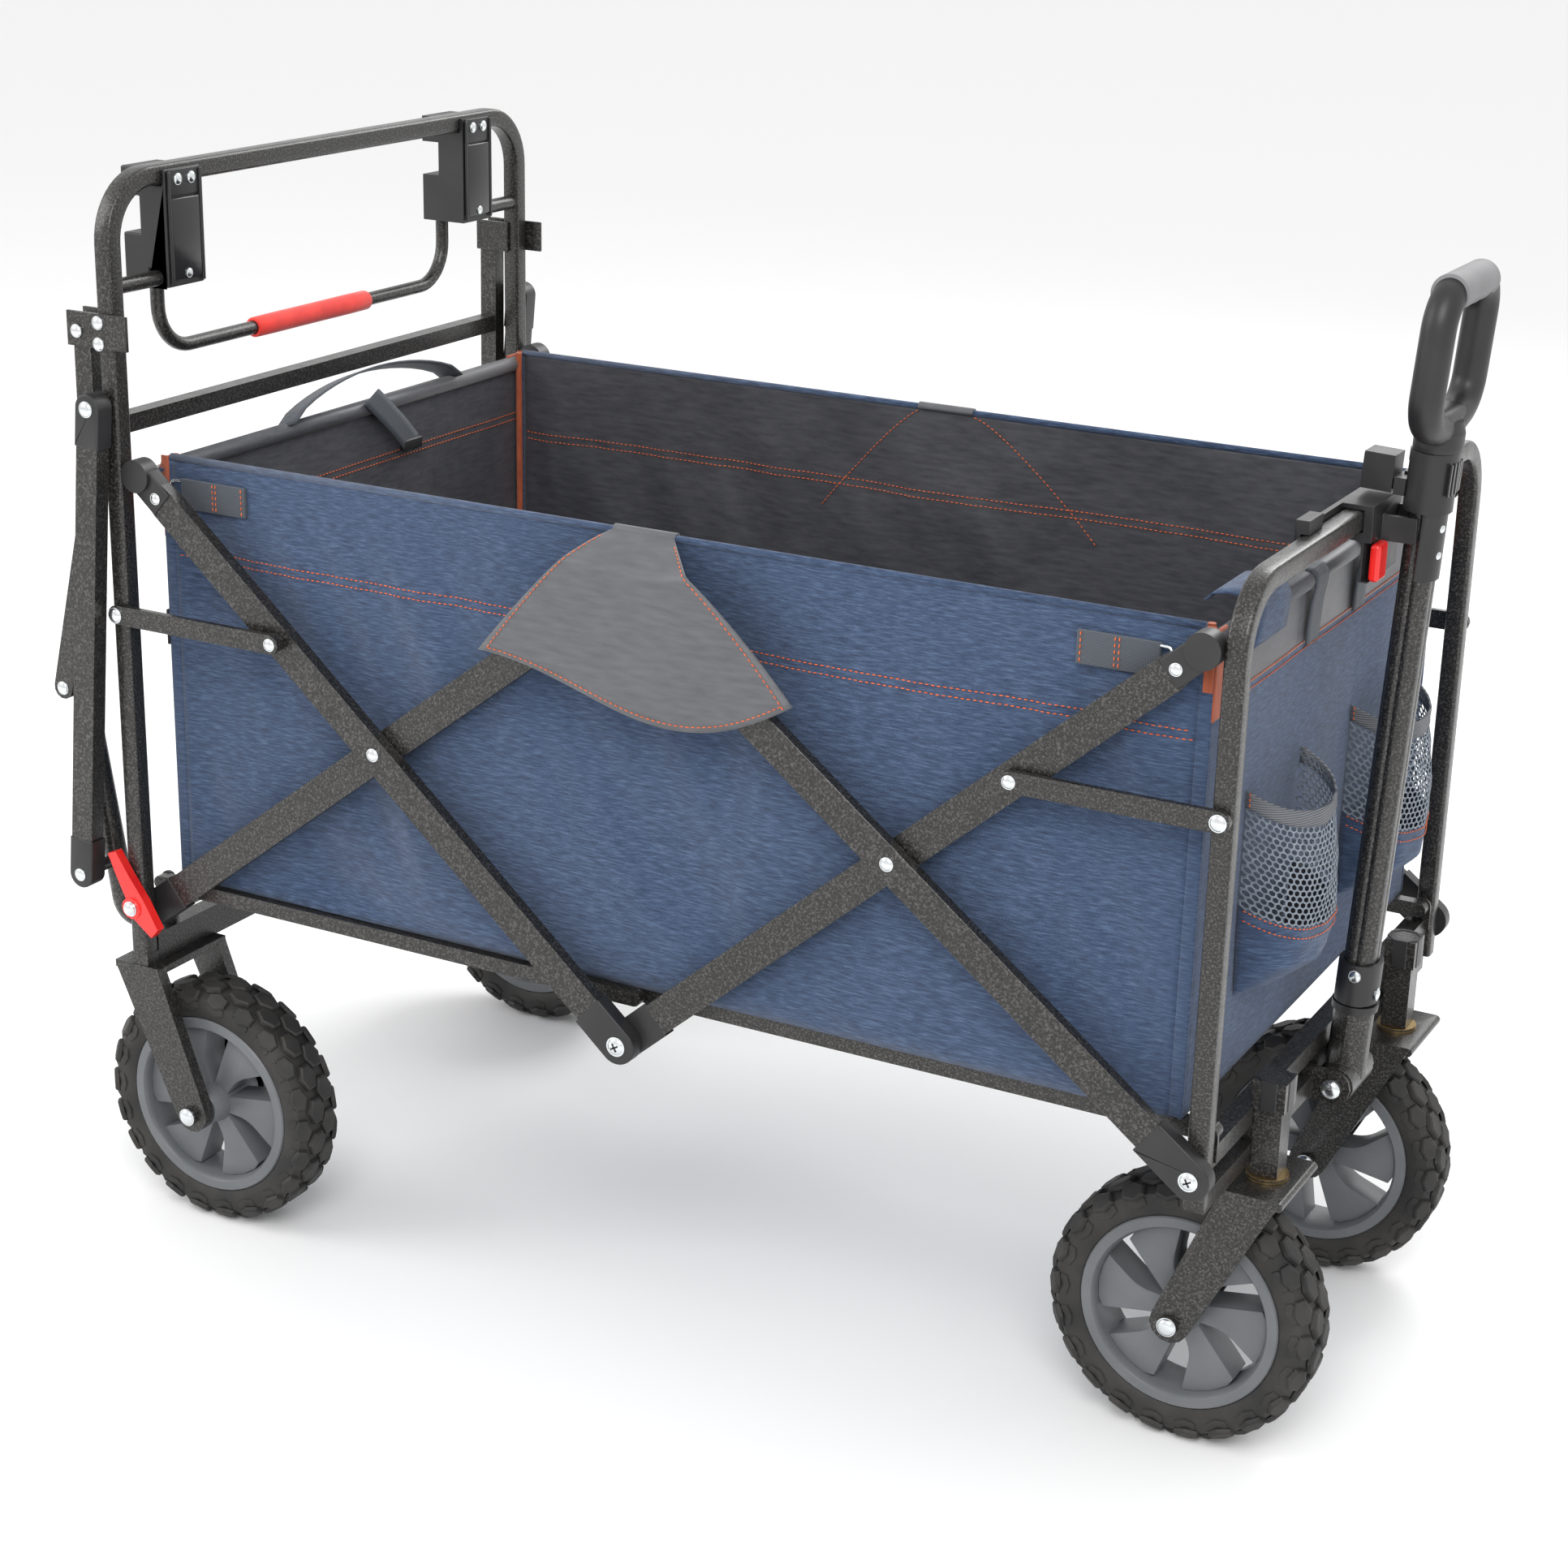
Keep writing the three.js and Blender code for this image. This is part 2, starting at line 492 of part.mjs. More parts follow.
// Front beam: two cross tubes, capped caster posts, handle bracket and the ears of the floor rails.
const STUB_TOP = FORK_TOP + 76;
{
  const back = FRONT_X - 11.8;
  const end = FRONT_Y - HALF - GAP;
  const low = block([back, back + TUBE], [-end, end], [FORK_TOP + 11, FORK_TOP + 26]);
  const high = block([back, back + TUBE], [-end, end], [FORK_TOP + 41, FORK_TOP + 56]);
  const post = block([SWIVEL.x - 10, SWIVEL.x + 10], [-SWIVEL.y - 10, -SWIVEL.y + 10],
    [FORK_TOP + 3.6, STUB_TOP - 20]);
  const cap = block([SWIVEL.x - 12, SWIVEL.x + 12], [-SWIVEL.y - 12, -SWIVEL.y + 12],
    [STUB_TOP - 22, STUB_TOP]);
  const web = block([back + 5, SWIVEL.x], [-SWIVEL.y - 4, -SWIVEL.y + 4], [FORK_TOP + 12, FORK_TOP + 55]);
  const bore = upright(5 + GAP, SWIVEL.x, -SWIVEL.y, [FORK_TOP, FORK_TOP + 40]);
  const cheek = plate([[back + 4, HANDLE.z - 13], ...arc([HANDLE.x, HANDLE.z], 13, -90, 90),
    [back + 4, HANDLE.z + 13]], [24.5, 28.5]);
  const bolt = join(crossRod(5, HANDLE.x, HANDLE.z, [-30, 30]),
    both(crossRod(7.5, HANDLE.x, HANDLE.z, [28, 32.5])));
  const ear = plate([[FRONT_X - 7, FORK_TOP + 48], [FRONT_X + 7, FORK_TOP + 48],
    ...arc([FRONT_X, RAIL_Z], 7, 0, 180)], [SIDE_Y - 4.2, SIDE_Y - 1.2]);
  const earPin = crossRod(3.5, FRONT_X, RAIL_Z, [SIDE_Y - 15.2, SIDE_Y - 3]);
  const tie = block([back + 2, back + 12], [-8, 8], [FORK_TOP + 12, FORK_TOP + 55]);
  const side = cut(join(post, cap, web), bore);
  add("front_beam", join(low, high, tie, bolt, both(join(side, cheek, ear, earPin))), PAINT);
}

// Casters: a channel fork on a washer and stem, swivelling in the post above.
{
  const { x, y } = SWIVEL;
  const reach = 37.5;
  const eye = [FRONT_WHEEL.x, WHEEL_Z];
  const span = [x - 21, x + 21];
  const top = block(span, [-y - reach, -y + reach], [FORK_TOP - 6, FORK_TOP]);
  const lip = crossRod(3.5, span[1], FORK_TOP - 3.5, [y - reach, y + reach], 12);
  const cheek = (near, far, inside) => cut(
    leg(span, FORK_TOP - 3, eye, 15, [near, far]),
    leg([span[0] + 3, span[1] - 3], FORK_TOP - 12, eye, 12, inside));
  const near = cheek(y + reach - 8, y + reach, [y + reach - 9, y + reach - 3]);
  const far = cheek(y - reach, y - reach + 8, [y - reach + 3, y - reach + 9]);
  const washer = upright(15, x, -y, [FORK_TOP - 1, FORK_TOP + 3.3]);
  const stem = upright(5, x, -y, [FORK_TOP, FORK_TOP + 38]);
  const axle = wheelAxle(FRONT_WHEEL, y - reach, y + reach);
  addPair("caster_fork", join(top, lip, near, far, washer, stem, axle), PAINT);
}

// Handle catch on the front top bar, with its red push button.
{
  const top = FRONT_HEIGHT;
  const [back, front] = [FRONT_X - 12, FRONT_X + HALF + 7];
  const jaw = 16.5;
  const body = block([back, front], [-42, 22], [top - 50, top + 4]);
  const relief = block([back - 1, FRONT_X + HALF + GAP], [-43, 23], [top - 51, top - TUBE - 6]);
  const channel = block([FRONT_X - HALF - GAP, FRONT_X + HALF + GAP], [-43, 23],
    [top - TUBE - GAP, top + GAP]);
  const arms = both(block([front - 2, HANDLE.x + 20], [-jaw - 4, -jaw], [top - 24, top - 6]));
  const tail = block([back, FRONT_X - HALF - GAP], [-128, -40], [top - 10, top + 4]);
  const hook = block([back, FRONT_X - 2], [-128, -100], [top + GAP, top + 10]);
  const seat = block([FRONT_X + HALF + 2, front + 1], [-43, -22], [top - 49, top - 22]);
  add("catch_body", cut(join(body, arms, tail, hook), relief, channel, seat), BLACK_PLASTIC);
  const button = block([FRONT_X + HALF + 2 + GAP + 4, front + 7], [-42, -22 - GAP],
    [top - 49, top - 22 - GAP]);
  add("catch_button", button, RED_PLASTIC);
}

// Pull handle, built upright over its pivot and then leaned forwards.
const lean = (part) => part.rotate([0, HANDLE_LEAN, 0]).translate([HANDLE.x, 0, HANDLE.z]);
const OUTER_TUBE = { depth: 24, width: 30, wall: 2, low: 60.3, high: 439 };
{
  const { depth, width, wall, low, high } = OUTER_TUBE;
  const base = join(crossRod(14, 0, 0, [-24, 24], 16), upright(15, 0, 0, [0, 60], 16),
    upright(17, 0, 0, [55, 60], 16));
  add("handle_base", lean(cut(base, crossRod(5 + GAP, 0, 0, [-26, 26]))), PAINT);

  const outer = slab(oval(0, depth, width), [low, high]);
  const hollow = slab(oval(0, depth - 2 * wall, width - 2 * wall), [low - 1, high + 1]);
  add("handle_outer_tube", lean(cut(outer, hollow)), PAINT);

  const grown = (extra, range) => slab(oval(0, depth + extra, width + extra), range);
  const lower = cut(grown(8, [62, 94]), grown(2 * GAP, [61, 95]));
  add("handle_lower_collar", lean(lower), BLACK_PLASTIC);

  const crown = grown(10, [high - 7, high + 35]);
  const skirt = grown(5, [high - 55, high - 6]);
  const frontHalf = block([2, 20], [-20, 20], [high - 56, high - 5]);
  const passage = slab(oval(0, depth - 2 * wall, width - 2 * wall), [high - 60, high + 40]);
  const shell = join(crown, skirt.intersect(frontHalf));
  const upper = cut(shell, grown(2 * GAP, [high - 60, high + GAP]), passage);
  const pocket = block([-22, -14.6], [-8.8, 8.8], [high + 2, high + 26]);
  const hinge = both(block([-22, -14], [-13.5, -9], [high + 2, high + 14]));
  const pin = crossRod(2, -19, high + 8, [-13, 13], 10);
  add("handle_upper_collar", lean(join(cut(upper, pocket), hinge, pin)), BLACK_PLASTIC);

  const tab = block([-46, -24], [-11, 11], [high + 2, high + 28]);
  const knuckle = join(block([-25, -16.5], [-8, 8], [high + 4, high + 12]),
    crossRod(4, -19, high + 8, [-8.6, 8.6], 12));
  const lever = cut(join(tab, knuckle), crossRod(2 + GAP, -19, high + 8, [-14, 14], 10));
  add("handle_lever", lean(lever), BLACK_PLASTIC);

  const play = 2 * wall + 2 * GAP;
  const inner = slab(oval(0, depth - play, width - play), [low + 10, high + 38]);
  add("handle_inner_tube", lean(inner), PAINT);
}

// D-grip on the inner tube, with a soft pad over its top.
{
  const low = OUTER_TUBE.high + 35 + GAP;
  const section = roundedOval(24, 22, 10);
  const [half, rise] = [50, 113];
  const path = [[2, 2, low + 13], [2, -half, low + 24], [4, -half, low + rise], [4, 1, low + rise]];
  const loop = join(both(tube(path, 20, section, 4)));
  const fill = plate([[-8, low + 8], [12, low + 8], [12, low + 26], [-8, low + 26]], [-32, 32]);
  const neck = slab(oval(1, 34, 38), [low, low + 18]);
  const socket = slab(oval(0, 20 + 2 * GAP, 26 + 2 * GAP), [low - 1, low + 3 + 2 * GAP]);
  const grip = cut(join(loop, fill, neck), socket);
  const bar = block([-20, 28], [-half + 12, half - 12], [low + rise - 20, low + rise + 20]);
  const waist = tube([[4, -half + 8, low + rise], [4, half - 8, low + rise]], 20, roundedOval(18, 16, 12), 1);
  add("grip_body", lean(join(cut(grip, bar), waist)), BLACK_PLASTIC);
  const pad = tube([[4, -half + 12 + GAP, low + rise], [4, half - 12 - GAP, low + rise]], 20, section, 1);
  const core = tube([[4, -half, low + rise], [4, half, low + rise]], 20,
    roundedOval(18 + 2 * GAP, 16 + 2 * GAP, 12), 1);
  add("grip_pad", lean(cut(pad, core)), GREY_PLASTIC);
}

// Fabric tub: end walls hang from the hub rods, sides and floor stretch between them.
{
  const width = SIDE_Y;
  const wallX = HUB_X - 2;
  const hem = (end) => cut(
    join(crossRod(6.5, ...HUB(end), [-width + 5, width - 5], 12),
      block([Math.min(end * wallX, end * (wallX + CLOTH)), Math.max(end * wallX, end * (wallX + CLOTH))],
        [-width, width], [FLOOR_Z, HUB_HEIGHT - 2])),
    crossRod(PIN + GAP, ...HUB(end), [-width - 2, width + 2]));
  const [back, front, low, high] = [REAR_X - 9, -wallX - 1, 315, 510];
  const pouch = cut(block([back, front], [-190, 190], [low, high]),
    block([back + 2, -wallX - CLOTH], [-188, 188], [low + 2, high + 1]));
  add("tub_rear_wall", join(hem(-1), pouch), DENIM);
  add("tub_front_wall", hem(1), DENIM);

  const reach = HUB_X - 7 - GAP;
  addPair("tub_side", block([-reach, reach], [-width, -width + CLOTH], [FLOOR_Z, TUB_RIM]), DENIM);
  add("tub_floor", block([-reach, reach], [-width + CLOTH + GAP, width - CLOTH - GAP],
    [FLOOR_Z, FLOOR_Z + CLOTH]), DENIM);

  const CUP = { y: 110, depth: 48, half: 55, low: 355, high: 507, wall: 1.5 };
  const bowl = (inset) => arc([0, 0], 1, -90, 90, 12).map(([out, along]) => [
    wallX + CLOTH + GAP + inset + (CUP.depth - 2 * inset) * out,
    -CUP.y + (CUP.half - inset) * along,
  ]);
  const cup = cut(slab(bowl(0), [CUP.low, CUP.high]), slab(bowl(CUP.wall), [CUP.low + 3, CUP.high + 2]));
  addPair("cup_pocket", cup, MESH_CLOTH);
}

export default wagon;
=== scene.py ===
"""Folding wagon: finishes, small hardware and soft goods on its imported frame. Metres, +X forwards, +Z up."""
import json
import math

import bmesh
import bpy
from mathutils import Matrix, Vector, noise


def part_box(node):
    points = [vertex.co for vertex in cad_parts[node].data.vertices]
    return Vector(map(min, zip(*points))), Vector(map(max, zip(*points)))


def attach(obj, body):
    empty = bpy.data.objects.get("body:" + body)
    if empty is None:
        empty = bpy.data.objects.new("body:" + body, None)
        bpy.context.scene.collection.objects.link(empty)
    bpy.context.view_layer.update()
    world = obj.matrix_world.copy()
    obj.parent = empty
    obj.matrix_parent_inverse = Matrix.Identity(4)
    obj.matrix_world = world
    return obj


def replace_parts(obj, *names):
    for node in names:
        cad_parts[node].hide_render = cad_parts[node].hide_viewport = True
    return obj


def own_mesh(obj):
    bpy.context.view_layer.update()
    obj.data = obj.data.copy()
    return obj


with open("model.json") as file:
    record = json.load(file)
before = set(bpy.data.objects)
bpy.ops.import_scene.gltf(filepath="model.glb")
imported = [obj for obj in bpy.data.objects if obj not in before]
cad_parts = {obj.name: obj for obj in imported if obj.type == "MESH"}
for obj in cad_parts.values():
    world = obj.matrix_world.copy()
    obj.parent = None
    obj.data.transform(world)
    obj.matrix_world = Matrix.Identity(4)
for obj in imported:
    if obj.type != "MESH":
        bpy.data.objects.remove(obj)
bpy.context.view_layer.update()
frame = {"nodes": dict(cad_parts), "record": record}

# ---------------------------------------------------------------- Camera, floor and lights
# A long lens above the right rear corner, a pale floor, and three large soft lamps under a bright sky.
turn, dip, roll = math.radians(28.02), math.radians(19.52), math.radians(1.37)
ahead = Vector((-math.sin(turn) * math.cos(dip), math.cos(turn) * math.cos(dip), -math.sin(dip)))
across = ahead.cross(Vector((0, 0, 1))).normalized()
upward = across.cross(ahead)
camera = bpy.data.objects.new("camera", bpy.data.cameras.new("camera"))
camera.data.lens = 67.67
camera.data.sensor_width = 36
camera.data.clip_end = 200
tilted_across = across * math.cos(roll) + upward * math.sin(roll)
tilted_upward = upward * math.cos(roll) - across * math.sin(roll)
camera.matrix_world = Matrix.Translation((1.0239, -1.94837, 1.15562)) @ Matrix(
    (tilted_across, tilted_upward, -ahead)).transposed().to_4x4()
bpy.context.scene.collection.objects.link(camera)
bpy.context.scene.camera = camera

floor_shape = bmesh.new()
bmesh.ops.create_grid(floor_shape, x_segments=1, y_segments=1, size=60)
floor_mesh = bpy.data.meshes.new("floor")
floor_shape.to_mesh(floor_mesh)
floor_shape.free()
floor = bpy.data.objects.new("floor", floor_mesh)
pale = bpy.data.materials.new("pale floor")
pale.use_nodes = True
pale.node_tree.nodes["Principled BSDF"].inputs["Base Color"].default_value = (0.9, 0.9, 0.9, 1)
pale.node_tree.nodes["Principled BSDF"].inputs["Roughness"].default_value = 0.9
floor_mesh.materials.append(pale)
bpy.context.scene.collection.objects.link(floor)

sky = bpy.data.worlds.new("sky")
sky.use_nodes = True
sky.node_tree.nodes["Background"].inputs["Color"].default_value = (1, 1, 1, 1)
sky.node_tree.nodes["Background"].inputs["Strength"].default_value = 1.0
bpy.context.scene.world = sky
bpy.context.scene.view_settings.view_transform = "Standard"
for lamp_name, place, watts, size in (("key", (1.2, -2.4, 2.6), 55, 1.6), ("fill", (-2.6, -1.6, 2.0), 35, 1.8),
                                      ("back", (0.4, 2.4, 2.4), 45, 1.6)):
    lamp = bpy.data.objects.new(lamp_name, bpy.data.lights.new(lamp_name, "AREA"))
    lamp.data.energy = watts
    lamp.data.size = size
    lamp.location = place
    lamp.rotation_euler = (Vector((0, 0, 0.4)) - Vector(place)).to_track_quat("-Z", "Y").to_euler()
    bpy.context.scene.collection.objects.link(lamp)


# ---------------------------------------------------------------- Rear hoop
# The tall square hoop at the back is 15 mm steel tube, bent at its top corners and finished in hammered
# grey enamel. Its stubs and pivot pins are welded on, and the pins end in bright zinc heads.
def finish(name, **sockets):
    """A material whose shader sockets are set by name."""
    made = bpy.data.materials.new(name)
    made.use_nodes = True
    skin = made.node_tree.nodes["Principled BSDF"]
    for socket, value in sockets.items():
        skin.inputs[socket.replace("_", " ")].default_value = value
    return made


def pattern(material, kind, scale, stretch=(1, 1, 1), turned=(0, 0, 0), **sockets):
    """A texture in the piece's own space, stretched and turned."""
    tree = material.node_tree
    where = tree.nodes.new("ShaderNodeTexCoord")
    place = tree.nodes.new("ShaderNodeMapping")
    place.inputs["Scale"].default_value = stretch
    place.inputs["Rotation"].default_value = turned
    made = tree.nodes.new("ShaderNodeTex" + kind)
    made.inputs["Scale"].default_value = scale
    for socket, value in sockets.items():
        made.inputs[socket].default_value = value
    tree.links.new(where.outputs["Object"], place.inputs["Vector"])
    tree.links.new(place.outputs["Vector"], made.inputs["Vector"])
    return made.outputs[0]


def tint(material, factor, *stops):
    """Colours the material along a texture, from (position, colour) stops."""
    tree = material.node_tree
    ramp = tree.nodes.new("ShaderNodeValToRGB")
    while len(ramp.color_ramp.elements) < len(stops):
        ramp.color_ramp.elements.new(0.5)
    for element, (position, colour) in zip(ramp.color_ramp.elements, stops):
        element.position = position
        element.color = (*colour, 1)
    tree.links.new(factor, ramp.inputs["Fac"])
    tree.links.new(ramp.outputs["Color"], tree.nodes["Principled BSDF"].inputs["Base Color"])


def relief(material, factor, depth, strength=1.0):
    """Raises the surface along a texture, over any relief that it already has."""
    tree = material.node_tree
    bump = tree.nodes.new("ShaderNodeBump")
    bump.inputs["Distance"].default_value = depth
    bump.inputs["Strength"].default_value = strength
    normal = tree.nodes["Principled BSDF"].inputs["Normal"]
    if normal.is_linked:
        tree.links.new(normal.links[0].from_socket, bump.inputs["Normal"])
    tree.links.new(factor, bump.inputs["Height"])
    tree.links.new(bump.outputs["Normal"], normal)


def polish(material, factor, low, high):
    """Lets the gloss wander between two roughnesses."""
    tree = material.node_tree
    spread = tree.nodes.new("ShaderNodeMapRange")
    spread.inputs["To Min"].default_value = low
    spread.inputs["To Max"].default_value = high
    tree.links.new(factor, spread.inputs["Value"])
    tree.links.new(spread.outputs["Result"], tree.nodes["Principled BSDF"].inputs["Roughness"])


hammered = finish("hammered enamel", Metallic=0.35, Roughness=0.36, Coat_Weight=0.35, Coat_Roughness=0.2)
cells = pattern(hammered, "Noise", 620, Detail=2.0, Roughness=0.55)
tint(hammered, cells, (0.34, (0.008, 0.0075, 0.007)), (0.52, (0.024, 0.0225, 0.021)), (0.68, (0.085, 0.081, 0.077)))
relief(hammered, cells, 0.0006, 0.55)
polish(hammered, pattern(hammered, "Noise", 90, Detail=3.0), 0.28, 0.5)

zinc = finish("bright zinc", Base_Color=(0.72, 0.75, 0.76, 1), Metallic=1.0, Roughness=0.2)
polish(zinc, pattern(zinc, "Noise", 300, Detail=3.0), 0.12, 0.34)
relief(zinc, pattern(zinc, "Noise", 900), 0.00005)


def settle(name, shape, body, slot, *finishes, sharp=35):
    """Turns a finished shape into a piece that rides on a body and wears the finishes given. The slot argument is not
    used.
    """
    mesh = bpy.data.meshes.new(name)
    shape.to_mesh(mesh)
    shape.free()
    for material in finishes:
        mesh.materials.append(material)
    mesh.shade_smooth()
    mesh.set_sharp_from_angle(angle=math.radians(sharp))
    piece = bpy.data.objects.new(name, mesh)
    bpy.context.scene.collection.objects.link(piece)
    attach(piece, body)
    return piece


def standing(place, out):
    """A place whose Z axis points along out."""
    return Matrix.Translation(Vector(place)) @ Vector(out).to_track_quat("Z", "Y").to_matrix().to_4x4()


def new_rim(made):
    """The edges among new geometry that join two new corners."""
    corners = {v for v in made if isinstance(v, bmesh.types.BMVert)}
    return [e for e in made if isinstance(e, bmesh.types.BMEdge) and all(v in corners for v in e.verts)]


def draw_on(shape, rim, move):
    """Draws the open rim of a tube straight on."""
    made = bmesh.ops.extrude_edge_only(shape, edges=rim)["geom"]
    bmesh.ops.translate(shape, vec=move, verts=[v for v in made if isinstance(v, bmesh.types.BMVert)])
    return new_rim(made)


def bent_tube(shape, corners, bend, size, edge=0, steps=8, sides=20):
    """Draws a tube along its corners and bends it round each. A square tube has rounded edges."""
    corners = [Vector(c) for c in corners]
    stand = standing(corners[0], corners[1] - corners[0])
    if edge:
        stand = stand @ Matrix.Rotation(math.pi / 4, 4, "Z")
        disc = bmesh.ops.create_circle(shape, cap_ends=True, segments=4, radius=size / math.sqrt(2), matrix=stand)
        disc = bmesh.ops.bevel(shape, geom=disc["verts"], affect="VERTICES", offset=edge, offset_type="OFFSET",
                               segments=3, profile=0.5, material=-1)
        rim = list({e for v in disc["verts"] for e in v.link_edges})
    else:
        disc = bmesh.ops.create_circle(shape, cap_ends=True, segments=sides, radius=size / 2, matrix=stand)
        rim = list({e for v in disc["verts"] for e in v.link_edges})
    at = corners[0]
    for before, corner, after in zip(corners, corners[1:], corners[2:]):
        into, out = (corner - before).normalized(), (after - corner).normalized()
        angle = into.angle(out)
        start = corner - into * bend * math.tan(angle / 2)
        rim = draw_on(shape, rim, start - at)
        axis = into.cross(out).normalized()
        turned = bmesh.ops.spin(shape, geom=rim, cent=start + axis.cross(into) * bend, axis=axis, dvec=(0, 0, 0),
                                angle=angle, steps=steps, use_merge=False, use_duplicate=False)
        rim = new_rim(turned["geom_last"])
        at = corner + out * bend * math.tan(angle / 2)
    rim = draw_on(shape, rim, corners[-1] - at)
    bmesh.ops.edgeloop_fill(shape, edges=rim)
    bmesh.ops.recalc_face_normals(shape, faces=shape.faces)


def peg(shape, place, out, radius, length, sides=24):
    """A round peg that starts at a place and points out."""
    middle = Vector(place) + Vector(out).normalized() * length / 2
    bmesh.ops.create_cone(shape, cap_ends=True, segments=sides, radius1=radius, radius2=radius, depth=length,
                          matrix=standing(middle, out))


def both_sides(places):
    """Each place on the right and its twin on the left, with the way out of the wagon."""
    return [((x, side * y, z), (0, side, 0)) for x, y, z in places for side in (-1, 1)]


def heads(name, body, places, radius, rise=0.42, slot="painted_steel"):
    """Domed zinc rivet heads on thin flanges."""
    shape = bmesh.new()
    for place, out in places:
        stand = standing(place, out)
        bmesh.ops.create_uvsphere(shape, u_segments=16, v_segments=8, radius=radius,
                                  matrix=stand @ Matrix.Diagonal((1, 1, rise, 1)))
        peg(shape, Vector(place) - Vector(out) * 0.001, out, radius * 1.08, 0.0014, 20)
    return settle(name, shape, body, slot, zinc)


rear_x, rear_y, rear_top = -0.443, 0.2705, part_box("rear_frame")[1].z
shape = bmesh.new()
bent_tube(shape, [(rear_x, -rear_y, 0.232), (rear_x, -rear_y, rear_top - 0.0075), (rear_x, rear_y, rear_top - 0.0075),
                  (rear_x, rear_y, 0.232)], 0.045, 0.015, edge=0.0026, steps=12)
for place, out in both_sides([(rear_x, 0.2165, 0.762)]):
    peg(shape, place, out, 0.006, 0.048)
for place, out in both_sides([(rear_x, 0.277, 0.514), (rear_x - 0.006, 0.277, 0.675), (rear_x + 0.003, 0.277, 0.275)]):
    peg(shape, place, out, 0.0038, 0.0075 if place[2] == 0.514 else 0.020 if place[2] == 0.675 else 0.012)
for place, out in both_sides([(rear_x, 0.2495, 0.263)]):
    peg(shape, place, out, 0.004, 0.015)
hoop = settle("rear_hoop", shape, "rear_frame", "painted_steel", hammered)
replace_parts(hoop, "rear_frame")
heads("rear_hoop_rivets", "rear_frame", both_sides([(rear_x, 0.2845, 0.514), (rear_x - 0.006, 0.2975, 0.675),
                                                    (rear_x + 0.003, 0.289, 0.275)]), 0.0058)


# ---------------------------------------------------------------- Rear axle beam
# A square cross tube with a pressed steel fork at each end. The forks hold the rear wheels' axles, whose
# round heads are bright zinc.
membership = {node: body for body, nodes in frame["record"]["behaviour"]["bodies"].items() for node in nodes}
slot_of = {part["node"]: part["material_slot"] for part in frame["record"]["subparts"]}


def refinish(node, material, round_edges, segments=2, sharp=32):
    """A frame part with its corners joined and its edges rounded, which stands for that part."""
    shape = bmesh.new()
    shape.from_mesh(frame["nodes"][node].data)
    bmesh.ops.remove_doubles(shape, verts=shape.verts, dist=0.00003)
    bmesh.ops.dissolve_degenerate(shape, edges=shape.edges, dist=0.00003)
    bmesh.ops.dissolve_limit(shape, angle_limit=math.radians(0.6), verts=shape.verts, edges=shape.edges)
    piece = settle(node + "_finished", shape, membership[node], slot_of[node], material, sharp=sharp)
    rounding = piece.modifiers.new("rounded edges", "BEVEL")
    rounding.width = round_edges
    rounding.segments = segments
    rounding.limit_method = "ANGLE"
    rounding.angle_limit = math.radians(sharp)
    rounding.harden_normals = True
    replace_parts(piece, node)
    return piece


refinish("rear_axle_beam", hammered, 0.0014)
heads("rear_axle_heads", "rear_frame", both_sides([(-0.398, 0.2832, 0.1015)]), 0.0068, 0.5)
heads("rear_fork_bolts", "rear_frame", [((-0.398, 0.1875, 0.1015), (0, -1, 0)), ((-0.398, -0.1875, 0.1015), (0, 1, 0))],
      0.006)


# ---------------------------------------------------------------- Latch housings
# Two black moulded blocks saddle the top tube and hold the folded handle. Each has a recessed glossy
# plate in front, with two zinc rivets above and a screw below.
black = finish("black plastic", Base_Color=(0.014, 0.014, 0.015, 1), Roughness=0.42)
relief(black, pattern(black, "Noise", 1400, Detail=2.0), 0.00008, 0.5)
polish(black, pattern(black, "Noise", 60, Detail=4.0), 0.34, 0.52)
tint(black, pattern(black, "Noise", 25, Detail=4.0), (0.3, (0.011, 0.011, 0.012)), (0.7, (0.02, 0.02, 0.021)))
gloss_black = finish("glossy black plate", Base_Color=(0.016, 0.016, 0.017, 1), Roughness=0.16)
relief(gloss_black, pattern(gloss_black, "Noise", 120, Detail=2.0), 0.00012, 0.4)
polish(gloss_black, pattern(gloss_black, "Noise", 200, Detail=3.0), 0.1, 0.25)


def slab(shape, low, high, round_edges=0.0, segments=3):
    """A block between two corners, its edges rounded."""
    low, high = Vector(low), Vector(high)
    made = bmesh.ops.create_cube(shape, size=1, matrix=Matrix.Translation((low + high) / 2)
                                 @ Matrix.Diagonal((*(high - low), 1)))
    if round_edges:
        edges = list({e for v in made["verts"] for e in v.link_edges})
        bmesh.ops.bevel(shape, geom=edges, affect="EDGES", offset=round_edges, offset_type="OFFSET",
                        segments=segments, profile=0.5, material=-1)


